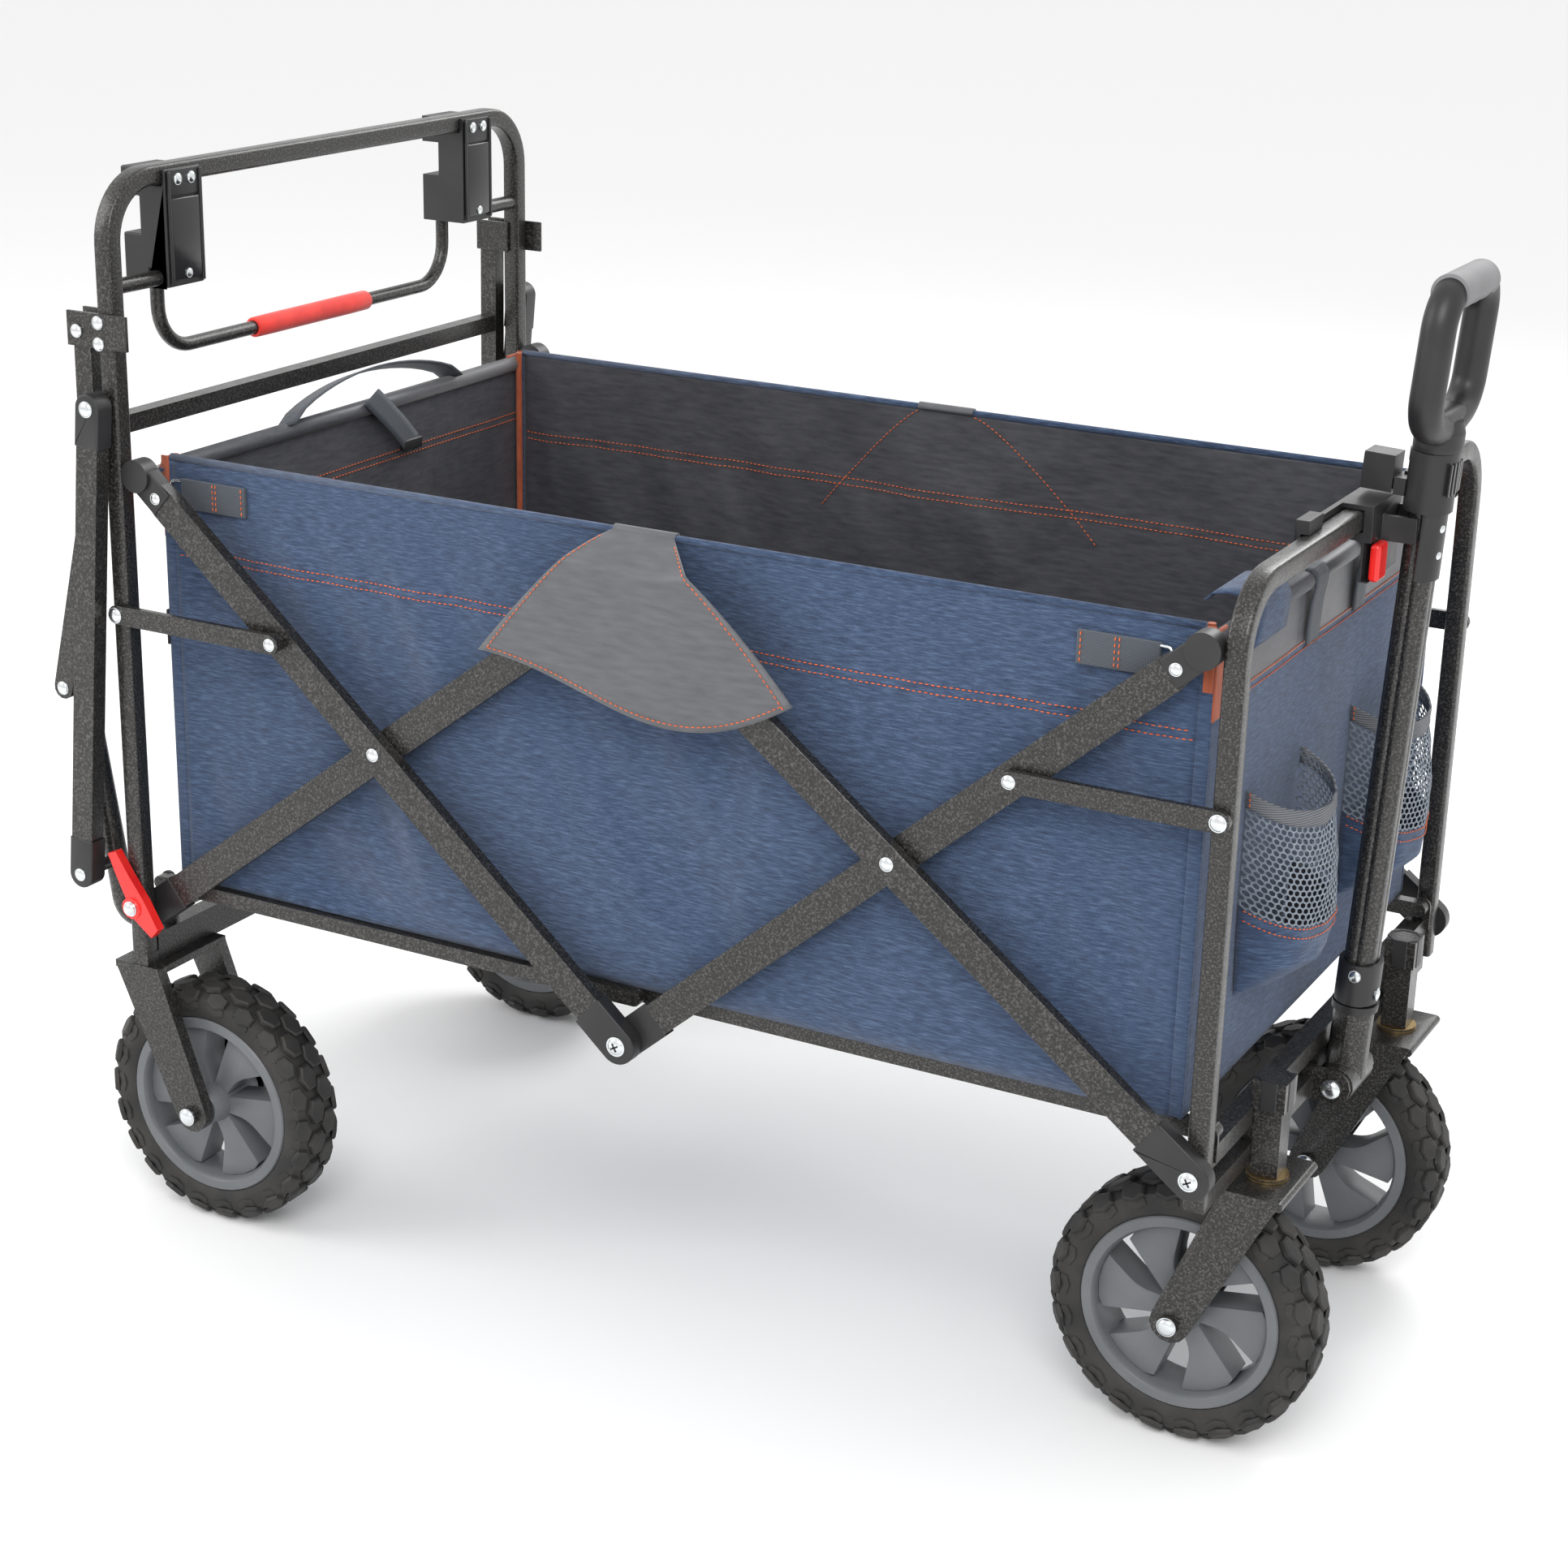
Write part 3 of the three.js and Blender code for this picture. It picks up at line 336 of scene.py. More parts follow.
for side, word in ((-1, "right"), (1, "left")):
    refinish(f"latch_housing_{word}", black, 0.0016)
    low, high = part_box(f"latch_housing_{word}")
    y = (low.y + high.y) / 2
    shape = bmesh.new()
    slab(shape, (high.x - 0.001, y - 0.0165, low.z + 0.005), (high.x + 0.0022, y + 0.0165, high.z - 0.022), 0.0014)
    settle(f"housing_plate_{word}", shape, "rear_frame", "black_plastic", gloss_black)
    shape = bmesh.new()
    slab(shape, (high.x - 0.001, y - 0.0175, high.z - 0.021), (high.x + 0.0012, y + 0.0175, high.z - 0.0006), 0.001)
    slab(shape, (high.x + 0.0008, y - 0.0195, low.z + 0.002), (high.x + 0.0026, y - 0.0165, high.z - 0.002), 0.0007)
    slab(shape, (high.x + 0.0008, y + 0.0165, low.z + 0.002), (high.x + 0.0026, y + 0.0195, high.z - 0.002), 0.0007)
    settle(f"housing_rim_{word}", shape, "rear_frame", "black_plastic", black)
    heads(f"housing_rivets_{word}", "rear_frame",
          [((high.x + 0.0018, y + shift, 0.8355), (1, 0, 0)) for shift in (-0.0078, 0.0078)], 0.0042)
    heads(f"housing_screw_{word}", "rear_frame", [((high.x + 0.0026, y, 0.7645), (1, 0, 0))], 0.0034, 0.3)


# ---------------------------------------------------------------- Push handle brackets
# Folded steel cheeks, riveted over the post, which carry the arms of the push handle.
for word in ("right", "left"):
    refinish(f"push_bracket_{word}", hammered, 0.0012)
heads("bracket_rivets", "rear_frame", both_sides([(-0.447, 0.2815, 0.7375), (-0.447, 0.2815, 0.7215),
                                                  (-0.467, 0.2825, 0.7296)]), 0.0048)

# ---------------------------------------------------------------- Release bar and its sleeve
# A round steel bar hangs from the housings and is pulled up to fold the wagon. Its middle wears a red
# foam sleeve with rounded ends.
bar_x, bar_y = -0.466, 0.1905
shape = bmesh.new()
bent_tube(shape, [(bar_x, -bar_y, 0.766), (bar_x, -bar_y, 0.700), (bar_x, bar_y, 0.700), (bar_x, bar_y, 0.766)],
          0.035, 0.011, steps=10)
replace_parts(settle("release_hoop", shape, "release_bar", "painted_steel", hammered), "release_bar")

foam = finish("red foam", Base_Color=(0.78, 0.03, 0.02, 1), Roughness=0.7, Sheen_Weight=0.25)
tint(foam, pattern(foam, "Noise", 40, Detail=5.0), (0.3, (0.66, 0.018, 0.012)), (0.7, (0.86, 0.04, 0.024)))
relief(foam, pattern(foam, "Noise", 1100, Detail=3.0), 0.0002, 0.6)
shape = bmesh.new()
for radius, y in ((0.0058, -0.076), (0.0074, -0.0758), (0.0081, -0.0745), (0.0083, -0.05), (0.0082, 0),
                  (0.0083, 0.05), (0.0081, 0.0745), (0.0074, 0.0758), (0.0058, 0.076)):
    shape.verts.new((bar_x, y, 0.700 + radius))
shape.verts.ensure_lookup_table()
for first, second in zip(shape.verts[:-1], shape.verts[1:]):
    shape.edges.new((first, second))
bmesh.ops.spin(shape, geom=shape.edges[:], cent=(bar_x, 0, 0.700), axis=(0, 1, 0), dvec=(0, 0, 0),
               angle=math.tau, steps=28, use_merge=True)
bmesh.ops.remove_doubles(shape, verts=shape.verts, dist=0.00001)
bmesh.ops.recalc_face_normals(shape, faces=shape.faces)
sleeve = settle("release_grip_sleeve", shape, "release_bar", "red_foam", foam)
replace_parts(sleeve, "release_sleeve")

# ---------------------------------------------------------------- Push arms, links and handle
# Two kinked arms with a square cross tube, straight links with black end caps, and a round hoop to push
# by. All are enamelled steel and pivot on zinc rivets.
refinish("push_arms", hammered, 0.0028, 3)
arm_end, link_top, link_end = (-0.5065, 0.443), (-0.449, 0.675), (-0.482, 0.298)
heads("push_arm_rivets", "push_arms", both_sides([(-0.467, 0.2772, 0.7296), (arm_end[0], 0.2768, arm_end[1])]), 0.005)


def stadium(shape, start, toward, radius, length, near, far, side, round_edges=0.0012, sides=28):
    """A flat bar end in the XZ plane: round at start, square where it runs on towards a point."""
    along = Vector((toward[0] - start[0], 0, toward[1] - start[1])).normalized()
    disc = bmesh.ops.create_circle(shape, cap_ends=True, segments=sides, radius=radius,
                                   matrix=standing((start[0], side * near, start[1]), (0, side, 0)))
    centre = Vector((start[0], side * near, start[1]))
    ahead_of = [v for v in disc["verts"] if (v.co - centre).dot(along) > -0.00001]
    for vert in ahead_of:
        vert.co += along * (length - (vert.co - centre).dot(along))
    bmesh.ops.remove_doubles(shape, verts=disc["verts"], dist=0.00001)
    face = max((f for f in shape.faces if all((v.co - centre).length < length + radius * 2 for v in f.verts)
                and len(f.verts) > 6 and abs(f.calc_center_median().y - centre.y) < 0.00001),
               key=lambda f: f.index if f.index >= 0 else 10 ** 6)
    made = bmesh.ops.extrude_face_region(shape, geom=[face])["geom"]
    verts = [v for v in made if isinstance(v, bmesh.types.BMVert)]
    bmesh.ops.translate(shape, vec=(0, side * (far - near), 0), verts=verts)
    edges = [e for e in made if isinstance(e, bmesh.types.BMEdge)]
    bmesh.ops.bevel(shape, geom=edges, affect="EDGES", offset=round_edges, offset_type="OFFSET", segments=3,
                    profile=0.5, material=-1)


def bar_caps(name, body, places, radius, length, near, far, slot="black_plastic"):
    """Black caps pushed over the round ends of flat bars, on both sides of the wagon."""
    shape = bmesh.new()
    for start, toward in places:
        for side in (-1, 1):
            cap = bmesh.new()
            stadium(cap, start, toward, radius, length, near, far, side)
            bmesh.ops.recalc_face_normals(cap, faces=cap.faces)
            scrap = bpy.data.meshes.new("scrap")
            cap.to_mesh(scrap)
            cap.free()
            shape.from_mesh(scrap)
            bpy.data.meshes.remove(scrap)
    return settle(name, shape, body, slot, black)


for word in ("right", "left"):
    refinish(f"push_link_{word}", hammered, 0.0034, 3)
bar_caps("push_link_caps", "push_links", [(link_top, link_end), (link_end, link_top)], 0.0112, 0.030, 0.2812, 0.2968)
heads("push_link_rivets", "push_links", both_sides([(link_top[0], 0.2972, link_top[1]),
                                                    (link_end[0], 0.2972, link_end[1])]), 0.0048, 0.35)
hoop_y = 0.2535
shape = bmesh.new()
bent_tube(shape, [(arm_end[0], -hoop_y, arm_end[1]), (link_end[0], -hoop_y, link_end[1]), (-0.474, -hoop_y, 0.243),
                  (-0.474, hoop_y, 0.243), (link_end[0], hoop_y, link_end[1]), (arm_end[0], hoop_y, arm_end[1])],
          0.024, 0.018, steps=8, sides=24)
for place, out in both_sides([(arm_end[0], hoop_y - 0.009, arm_end[1])]):
    peg(shape, place, out, 0.010, 0.018)
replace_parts(settle("push_hoop", shape, "push_handle", "painted_steel", hammered), "push_handle")

# ---------------------------------------------------------------- Handle latches
# Red moulded hooks at the foot of each rear post, which keep the push handle folded.
red = finish("red plastic", Base_Color=(0.74, 0.012, 0.01, 1), Roughness=0.28, Coat_Weight=0.3)
tint(red, pattern(red, "Noise", 30, Detail=3.0), (0.3, (0.66, 0.01, 0.008)), (0.7, (0.8, 0.018, 0.014)))
relief(red, pattern(red, "Noise", 500, Detail=2.0), 0.00008, 0.4)
for word in ("right", "left"):
    refinish(f"latch_lever_{word}", red, 0.002, 3)
heads("latch_rivets", "rear_frame", both_sides([(-0.440, 0.2905, 0.275)]), 0.005)


# ---------------------------------------------------------------- Wheels
# Four alike: a rubber tyre with hexagonal tread blocks and shoulder lugs, on a grey moulded rim whose
# six spokes sweep out wide to meet the ring.
rubber = finish("tyre rubber", Base_Color=(0.016, 0.015, 0.014, 1), Roughness=0.62)
tint(rubber, pattern(rubber, "Noise", 35, Detail=6.0), (0.35, (0.011, 0.0105, 0.01)), (0.75, (0.034, 0.031, 0.028)))
relief(rubber, pattern(rubber, "Noise", 700, Detail=3.0), 0.00015, 0.5)
polish(rubber, pattern(rubber, "Noise", 50, Detail=4.0), 0.5, 0.78)
rim_grey = finish("grey rim plastic", Base_Color=(0.12, 0.128, 0.138, 1), Roughness=0.42)
tint(rim_grey, pattern(rim_grey, "Noise", 18, Detail=4.0), (0.3, (0.105, 0.112, 0.12)), (0.7, (0.14, 0.148, 0.157)))
relief(rim_grey, pattern(rim_grey, "Noise", 800, Detail=2.0), 0.00006, 0.5)
polish(rim_grey, pattern(rim_grey, "Noise", 40, Detail=4.0), 0.34, 0.5)


def lathe(shape, profile, steps, closed=True):
    """Spins a profile of (radius, y) round the Y axis."""
    verts = [shape.verts.new((radius, y, 0)) for radius, y in profile]
    edges = [shape.edges.new(pair) for pair in zip(verts, verts[1:] + (verts[:1] if closed else []))]
    bmesh.ops.spin(shape, geom=edges, cent=(0, 0, 0), axis=(0, 1, 0), dvec=(0, 0, 0), angle=math.tau,
                   steps=steps, use_merge=True)
    bmesh.ops.remove_doubles(shape, verts=shape.verts, dist=0.00001)
    bmesh.ops.recalc_face_normals(shape, faces=shape.faces)


def lug(shape, angle, y, radius, tip, length, width, height):
    """A six-sided block of tread with chamfered edges."""
    stand = (Matrix.Rotation(angle, 4, "Y") @ Matrix.Translation((0, y, radius))
             @ Matrix.Rotation(tip, 4, "X") @ Matrix.Diagonal((length / 2, width / 2, 1, 1)))
    disc = bmesh.ops.create_circle(shape, cap_ends=True, segments=6, radius=1, matrix=stand)
    face = disc["verts"][0].link_faces[0]
    up = (stand.to_3x3() @ Vector((0, 0, 1))).normalized()
    centre = face.calc_center_median()
    for rise, shrink in ((height * 0.72, 0.94), (height * 0.28, 0.84)):
        made = bmesh.ops.extrude_face_region(shape, geom=[face])["geom"]
        verts = [v for v in made if isinstance(v, bmesh.types.BMVert)]
        face = next(f for f in made if isinstance(f, bmesh.types.BMFace))
        centre = centre + up * rise
        bmesh.ops.translate(shape, vec=up * rise, verts=verts)
        bmesh.ops.scale(shape, vec=(shrink,) * 3, space=Matrix.Translation(-centre), verts=verts)


def tyre_shape():
    shape = bmesh.new()
    flank = [(0.0756, 0.0196), (0.0785, 0.0216), (0.0860, 0.0226), (0.0925, 0.0214), (0.0962, 0.0172), (0.0980, 0.009)]
    lathe(shape, [(r, -y) for r, y in flank] + [(r, y) for r, y in reversed(flank)], 56)
    rows = 22
    for i in range(rows):
        for side in (-1, 1):
            angle = (i + (0.5 if side > 0 else 0)) * math.tau / rows
            lug(shape, angle, side * 0.0068, 0.0974, 0, 0.0245, 0.0190, 0.0042)
            lug(shape, angle + math.pi / rows, side * 0.0192, 0.0940, -side * 0.72, 0.0215, 0.0150, 0.0036)
            lug(shape, angle + math.pi / rows, side * 0.0222, 0.0875, -side * 1.42, 0.0190, 0.0100, 0.0012)
    return shape


def rim_shape():
    shape = bmesh.new()
    lathe(shape, [(0.0752, -0.0197), (0.0752, 0.0197), (0.0742, 0.0208), (0.0672, 0.0208), (0.0662, 0.0197),
                  (0.0648, 0.0165), (0.0636, 0), (0.0648, -0.0165), (0.0662, -0.0197), (0.0672, -0.0208),
                  (0.0742, -0.0208)], 64)
    lathe(shape, [(0.0055, -0.028), (0.0125, -0.028), (0.0140, -0.026), (0.0165, -0.014), (0.0165, 0.014),
                  (0.0140, 0.026), (0.0125, 0.028), (0.0055, 0.028)], 28)
    for i in range(6):
        blade = bmesh.new()
        outline = [(0.009, 0.0065), (0.0600, 0.0150), (0.0640, 0.0080), (0.0645, -0.0060), (0.0620, -0.0190),
                   (0.0580, -0.0285), (0.0330, -0.0085), (0.009, -0.0065)]
        blade.faces.new([blade.verts.new((x, -0.0135, z)) for x, z in outline])
        bend = [v for v in blade.verts if abs(v.co.x - 0.0330) < 1e-6]
        bmesh.ops.bevel(blade, geom=bend, affect="VERTICES", offset=0.008, offset_type="OFFSET", segments=4,
                        profile=0.5, material=-1)
        made = bmesh.ops.extrude_face_region(blade, geom=blade.faces[:])["geom"]
        bmesh.ops.translate(blade, vec=(0, 0.027, 0), verts=[v for v in made if isinstance(v, bmesh.types.BMVert)])
        bmesh.ops.recalc_face_normals(blade, faces=blade.faces)
        crease = [e for e in blade.edges if abs(e.verts[0].co.y - e.verts[1].co.y) < 1e-6]
        bmesh.ops.bevel(blade, geom=crease, affect="EDGES", offset=0.0012, offset_type="OFFSET", segments=2,
                        profile=0.5, material=-1)
        bmesh.ops.rotate(blade, cent=(0, 0, 0), matrix=Matrix.Rotation(i * math.tau / 6, 3, "Y"), verts=blade.verts)
        scrap = bpy.data.meshes.new("scrap")
        blade.to_mesh(scrap)
        blade.free()
        shape.from_mesh(scrap)
        bpy.data.meshes.remove(scrap)
    return shape


for end, x, y in (("rear", -0.398, 0.2355), ("front", 0.40575, 0.1485)):
    for side, word in ((-1, "right"), (1, "left")):
        for kind, make, material, slot in (("tyre", tyre_shape, rubber, "tyre"),
                                           ("rim", rim_shape, rim_grey, "grey_plastic")):
            shape = make()
            if side > 0 and kind == "rim":
                bmesh.ops.rotate(shape, cent=(0, 0, 0), matrix=Matrix.Rotation(math.pi, 3, "Z"), verts=shape.verts)
            bmesh.ops.translate(shape, vec=(x, side * y, 0.1015), verts=shape.verts)
            piece = settle(f"{end}_{kind}_{word}_turned", shape, f"{end}_wheel_{word}", slot, material)
            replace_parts(piece, f"{end}_{kind}_{word}")

# ---------------------------------------------------------------- Crossing side bars
# Flat steel bars cross at each side and fold like scissors. Their ends wear black plastic caps, and zinc
# rivets hold each crossing.
for node in ("rear_lower_bar", "rear_upper_bar", "front_upper_bar", "front_lower_bar"):
    for word in ("right", "left"):
        refinish(f"{node}_{word}", hammered, 0.0030, 3)
for node in ("rear_hub_rod", "front_hub_rod"):
    refinish(node, zinc, 0.0004)
cross = (0.21254, 0.44040)
foot, hub, top, bottom = (0.443, 0.263), (0.423, 0.6235), (0, 0.604), (0, 0.2555)
heads("rear_cross_rivets", "rear_upper_bars", both_sides([(-cross[0], 0.2737, cross[1])]), 0.0048)
heads("front_cross_rivets", "front_lower_bars", both_sides([(cross[0], 0.2737, cross[1])]), 0.0048)
bar_caps("front_foot_caps", "front_lower_bars", [(foot, top)], 0.0146, 0.040, 0.2632, 0.2752)
bar_caps("bottom_caps", "rear_upper_bars", [(bottom, (-hub[0], hub[1]))], 0.0146, 0.034, 0.2632, 0.2752)
bar_caps("bottom_inner_caps", "front_upper_bars", [(bottom, hub)], 0.0142, 0.034, 0.2512, 0.2627)
bar_caps("rear_foot_caps", "rear_lower_bars", [((-foot[0], foot[1]), top)], 0.0140, 0.036, 0.2512, 0.2629)
bar_caps("rear_hub_caps", "rear_upper_bars", [((-hub[0], hub[1]), bottom)], 0.0112, 0.030, 0.2632, 0.2752)
bar_caps("front_hub_caps", "front_upper_bars", [(hub, bottom)], 0.0112, 0.030, 0.2512, 0.2645)


def toward(start, end, distance):
    """The point on the way from start to end."""
    run = Vector(end) - Vector(start)
    return Vector(start) + run.normalized() * distance


def screw_heads(name, body, places, radius):
    """Pan heads crossed by black blocks: the black is painted shade where the sunk cross recess would be."""
    shape = bmesh.new()
    for place, out in places:
        stand = standing(place, out)
        bmesh.ops.create_uvsphere(shape, u_segments=20, v_segments=8, radius=radius,
                                  matrix=stand @ Matrix.Diagonal((1, 1, 0.4, 1)))
        peg(shape, Vector(place) - Vector(out) * 0.001, out, radius * 1.12, 0.0016, 24)
        for quarter in (0, math.pi / 2):
            made = bmesh.ops.create_cube(shape, size=1, matrix=stand @ Matrix.Rotation(quarter + 0.5, 4, "Z")
                                         @ Matrix.Diagonal((radius, radius * 0.2, radius * 0.83, 1)))
            # The cross takes the black finish as painted shade for the depth of the recess.
            for face in {f for v in made["verts"] for f in v.link_faces}:
                face.material_index = 1
    return settle(name, shape, body, "painted_steel", zinc, black)


hub_disc = bmesh.new()
for place, out in both_sides([(hub[0], 0.2525, hub[1])]):
    peg(hub_disc, place, out, 0.0125, 0.0145, 32)
settle("front_hub_discs", hub_disc, "front_upper_bars", "black_plastic", black)
hub_disc = bmesh.new()
for place, out in both_sides([(-hub[0], 0.2635, hub[1])]):
    peg(hub_disc, place, out, 0.0125, 0.0145, 32)
settle("rear_hub_discs", hub_disc, "rear_upper_bars", "black_plastic", black)
x, z = toward(hub, bottom, 0.023)
heads("front_hub_rivets", "front_upper_bars", both_sides([(x, 0.2647, z)]), 0.0042)
heads("rear_hub_rivets", "rear_upper_bars", both_sides([(-x, 0.2754, z)]), 0.0042)
screw_heads("front_foot_screws", "front_lower_bars", both_sides([(foot[0], 0.2755, foot[1])]), 0.0062)
screw_heads("bottom_screws", "rear_upper_bars", both_sides([(bottom[0], 0.2755, bottom[1])]), 0.0068)

# ---------------------------------------------------------------- Side links and floor rails
# Short flattened links tie each post to the bar beside it. Under the floor, folding rails with cross
# members carry the load.
for word in ("right", "left"):
    refinish(f"rear_link_{word}", hammered, 0.0016, 3)
    refinish(f"front_link_{word}", hammered, 0.0016, 3)
refinish("rear_floor_rails", hammered, 0.0016)
refinish("front_floor_rails", hammered, 0.0016)
heads("rear_link_rivets", "rear_links", both_sides([(-0.2971, 0.2836, 0.514)]), 0.0046)
heads("front_link_rivets", "front_links", both_sides([(0.2971, 0.2696, 0.514)]), 0.0046)

# ---------------------------------------------------------------- Front hoop, beam and casters
# The low hoop in front stands on a beam of two square tubes. Square caster posts with black octagonal
# caps hold the swivelling forks, each on a brass washer.
front_x, front_y, front_top = 0.443, 0.2555, 0.670
shape = bmesh.new()
bent_tube(shape, [(front_x, -front_y, 0.237), (front_x, -front_y, front_top - 0.0075),
                  (front_x, front_y, front_top - 0.0075), (front_x, front_y, 0.237)], 0.045, 0.015, edge=0.0026, steps=12)
for place, out in both_sides([(front_x, 0.262, 0.514)]):
    peg(shape, place, out, 0.0036, 0.0092)
for place, out in both_sides([(front_x, 0.262, 0.263)]):
    peg(shape, place, out, 0.004, 0.012)
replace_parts(settle("front_hoop", shape, "front_frame", "painted_steel", hammered), "front_frame")
heads("front_hoop_rivets", "front_frame", both_sides([(front_x, 0.2705, 0.514)]), 0.0056)
refinish("front_beam", hammered, 0.0014)
brass = finish("brass washer", Base_Color=(0.42, 0.3, 0.14, 1), Metallic=1.0, Roughness=0.34)
polish(brass, pattern(brass, "Noise", 200, Detail=3.0), 0.25, 0.5)
shape = bmesh.new()
washers = bmesh.new()
for place, out in both_sides([(0.4565, 0.1485, 0.270)]):
    x, y, z = place
    stand = Matrix.Translation((x, y, z)) @ Matrix.Rotation(math.pi / 8, 4, "Z")
    disc = bmesh.ops.create_circle(shape, cap_ends=True, segments=8, radius=0.0136, matrix=stand)
    made = bmesh.ops.extrude_face_region(shape, geom=[disc["verts"][0].link_faces[0]])["geom"]
    bmesh.ops.translate(shape, vec=(0, 0, 0.0225), verts=[v for v in made if isinstance(v, bmesh.types.BMVert)])
    crown = next(f for f in made if isinstance(f, bmesh.types.BMFace))
    bmesh.ops.inset_individual(shape, faces=[crown], thickness=0.0022, depth=0)
    bmesh.ops.inset_individual(shape, faces=[crown], thickness=0.0006, depth=-0.0022)
    peg(washers, (x, y, 0.2162), (0, 0, 1), 0.0154, 0.0012, 32)
    peg(washers, (x, y, 0.2174), (0, 0, 1), 0.0138, 0.0012, 32)
    peg(washers, (x, y, 0.2186), (0, 0, 1), 0.0150, 0.0009, 32)
bmesh.ops.recalc_face_normals(shape, faces=shape.faces)
settle("caster_post_caps", shape, "front_frame", "black_plastic", black, sharp=20)
settle("caster_washers", washers, "front_frame", "painted_steel", brass)
for side, word in ((-1, "right"), (1, "left")):
    refinish(f"caster_fork_{word}", hammered, 0.0016)
    heads(f"caster_axle_heads_{word}", f"caster_{word}",
          [((0.40575, side * 0.1485 + way * 0.0428, 0.1015), (0, way, 0)) for way in (-1, 1)], 0.0068, 0.5)

# ---------------------------------------------------------------- Handle catch
# A black clip on the front bar holds the pull handle upright. A red button lets it go, and a small coil
# spring sits behind it.
refinish("catch_body", black, 0.0012)
refinish("catch_button", red, 0.003, 4)
shape = bmesh.new()
for i in range(7):
    peg(shape, (0.4545, -0.012, 0.634 + i * 0.0022), (0.05, 0, 1), 0.0042, 0.0012, 16)
peg(shape, (0.4545, -0.012, 0.630), (0, 0, 1), 0.0026, 0.020, 16)
settle("catch_spring", shape, "front_frame", "painted_steel", zinc)

# ---------------------------------------------------------------- Pull handle
# A fluted steel tube stands on a hinged base and leans slightly forwards. Black collars clamp both ends,
# and the upper one carries the height lever and its window slots, whose recesses are glossy black slabs of painted
# shade.
leaning = Matrix.Translation((0.462, 0, 0.236)) @ Matrix.Rotation(math.radians(2.7), 4, "Y")
refinish("handle_base", hammered, 0.0008)


def fluted(shape, depth, width, low, high, groove, sides=64):
    """An oval tube with a shallow groove down the middle of each face."""
    disc = bmesh.ops.create_circle(shape, cap_ends=True, segments=sides, radius=1, matrix=Matrix.Translation((0, 0, low)))
    for vert in disc["verts"]:
        angle = math.atan2(vert.co.y, vert.co.x)
        squared = 1 + 0.10 * math.sin(2 * angle) ** 2
        notch = groove * sum(math.exp(-((abs(angle) - spot) / 0.11) ** 2) for spot in (0.0, 0.75, 1.5708, 2.39, 3.1416))
        reach = squared - notch
        vert.co.x, vert.co.y = depth / 2 * math.cos(angle) * reach * 0.97, width / 2 * math.sin(angle) * reach * 0.97
    made = bmesh.ops.extrude_face_region(shape, geom=[disc["verts"][0].link_faces[0]])["geom"]
    bmesh.ops.translate(shape, vec=(0, 0, high - low), verts=[v for v in made if isinstance(v, bmesh.types.BMVert)])
    bmesh.ops.recalc_face_normals(shape, faces=shape.faces)


shape = bmesh.new()
fluted(shape, 0.0242, 0.0302, 0.0603, 0.439, 0.07)
bmesh.ops.transform(shape, matrix=leaning, verts=shape.verts)
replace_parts(settle("handle_fluted_tube", shape, "pull_handle", "painted_steel", hammered), "handle_outer_tube")
shape = bmesh.new()
fluted(shape, 0.0194, 0.0254, 0.0703, 0.4765, 0.05)
bmesh.ops.transform(shape, matrix=leaning, verts=shape.verts)
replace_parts(settle("handle_sliding_tube", shape, "handle_slide", "painted_steel", hammered), "handle_inner_tube")
refinish("handle_lower_collar", black, 0.0012)
refinish("handle_upper_collar", black, 0.0012)
refinish("handle_lever", black, 0.0016)
shape = bmesh.new()
for i in range(8):
    y = -0.0095 + i * 0.0027
    slab(shape, (-0.0464, y - 0.0006, 0.4425), (-0.0455, y + 0.0006, 0.4655), 0.0003, 1)
bmesh.ops.transform(shape, matrix=leaning, verts=shape.verts)
settle("handle_lever_ribs", shape, "handle_lever", "black_plastic", black)
# Glossy black slabs over the upper collar's window slots: painted shade standing in for the dark recesses.
shape = bmesh.new()
for i in range(5):
    y = -0.012 + i * 0.006
    slab(shape, (0.0148, y - 0.0016, 0.445), (0.0176 - abs(y) * 0.09, y + 0.0016, 0.468), 0.0006, 1)
bmesh.ops.transform(shape, matrix=leaning, verts=shape.verts)
settle("upper_collar_window_shade", shape, "pull_handle", "black_plastic", gloss_black)
upright_axis = (leaning.to_3x3() @ Vector((0, 0, 1))).normalized()


def leaned(x, y, z):
    return tuple(leaning @ Vector((x, y, z)))


heads("collar_screws", "pull_handle", [(leaned(0.0130, -0.0045, 0.421), (0.95, -0.3, 0)),
                                       (leaned(0.0130, -0.0045, 0.402), (0.95, -0.3, 0))], 0.0034)
heads("lower_collar_rivets", "pull_handle", [(leaned(0.002, side * 0.0188, 0.086), (0, side, 0)) for side in (-1, 1)]
      + [(leaned(0.0158, -0.003, 0.070), (1, 0, 0))], 0.0044)
heads("handle_pivot_heads", "front_frame", both_sides([(0.462, 0.0326, 0.236)]), 0.0072, 0.5)
shape = bmesh.new()
bmesh.ops.create_cone(shape, cap_ends=True, segments=32, radius1=0.0168, radius2=0.0172, depth=0.006,
                      matrix=leaning @ Matrix.Translation((0, 0, 0.0575)))
settle("handle_base_ring", shape, "pull_handle", "black_plastic", black)

# ---------------------------------------------------------------- D-grip
# A closed black moulded loop with a wedge-shaped neck. A soft grey pad with finger scallops is moulded
# over its top.
grip_low, half, rise, reach = 0.4743, 0.050, 0.113, 0.020
shape = bmesh.new()
bent_tube(shape, [(0.002, 0.004, grip_low + 0.012), (0.002, -half, grip_low + 0.026), (0.004, -half, grip_low + rise),
                  (0.004, 0.004, grip_low + rise)], 0.024, 0.0235, steps=10, sides=28)
twin = bmesh.ops.duplicate(shape, geom=shape.verts[:] + shape.edges[:] + shape.faces[:])["geom"]
bmesh.ops.scale(shape, vec=(1, -1, 1), verts=[v for v in twin if isinstance(v, bmesh.types.BMVert)])
bmesh.ops.recalc_face_normals(shape, faces=shape.faces)
slab(shape, (-0.0085, -0.034, grip_low + 0.008), (0.0125, 0.034, grip_low + 0.030), 0.0085, 5)
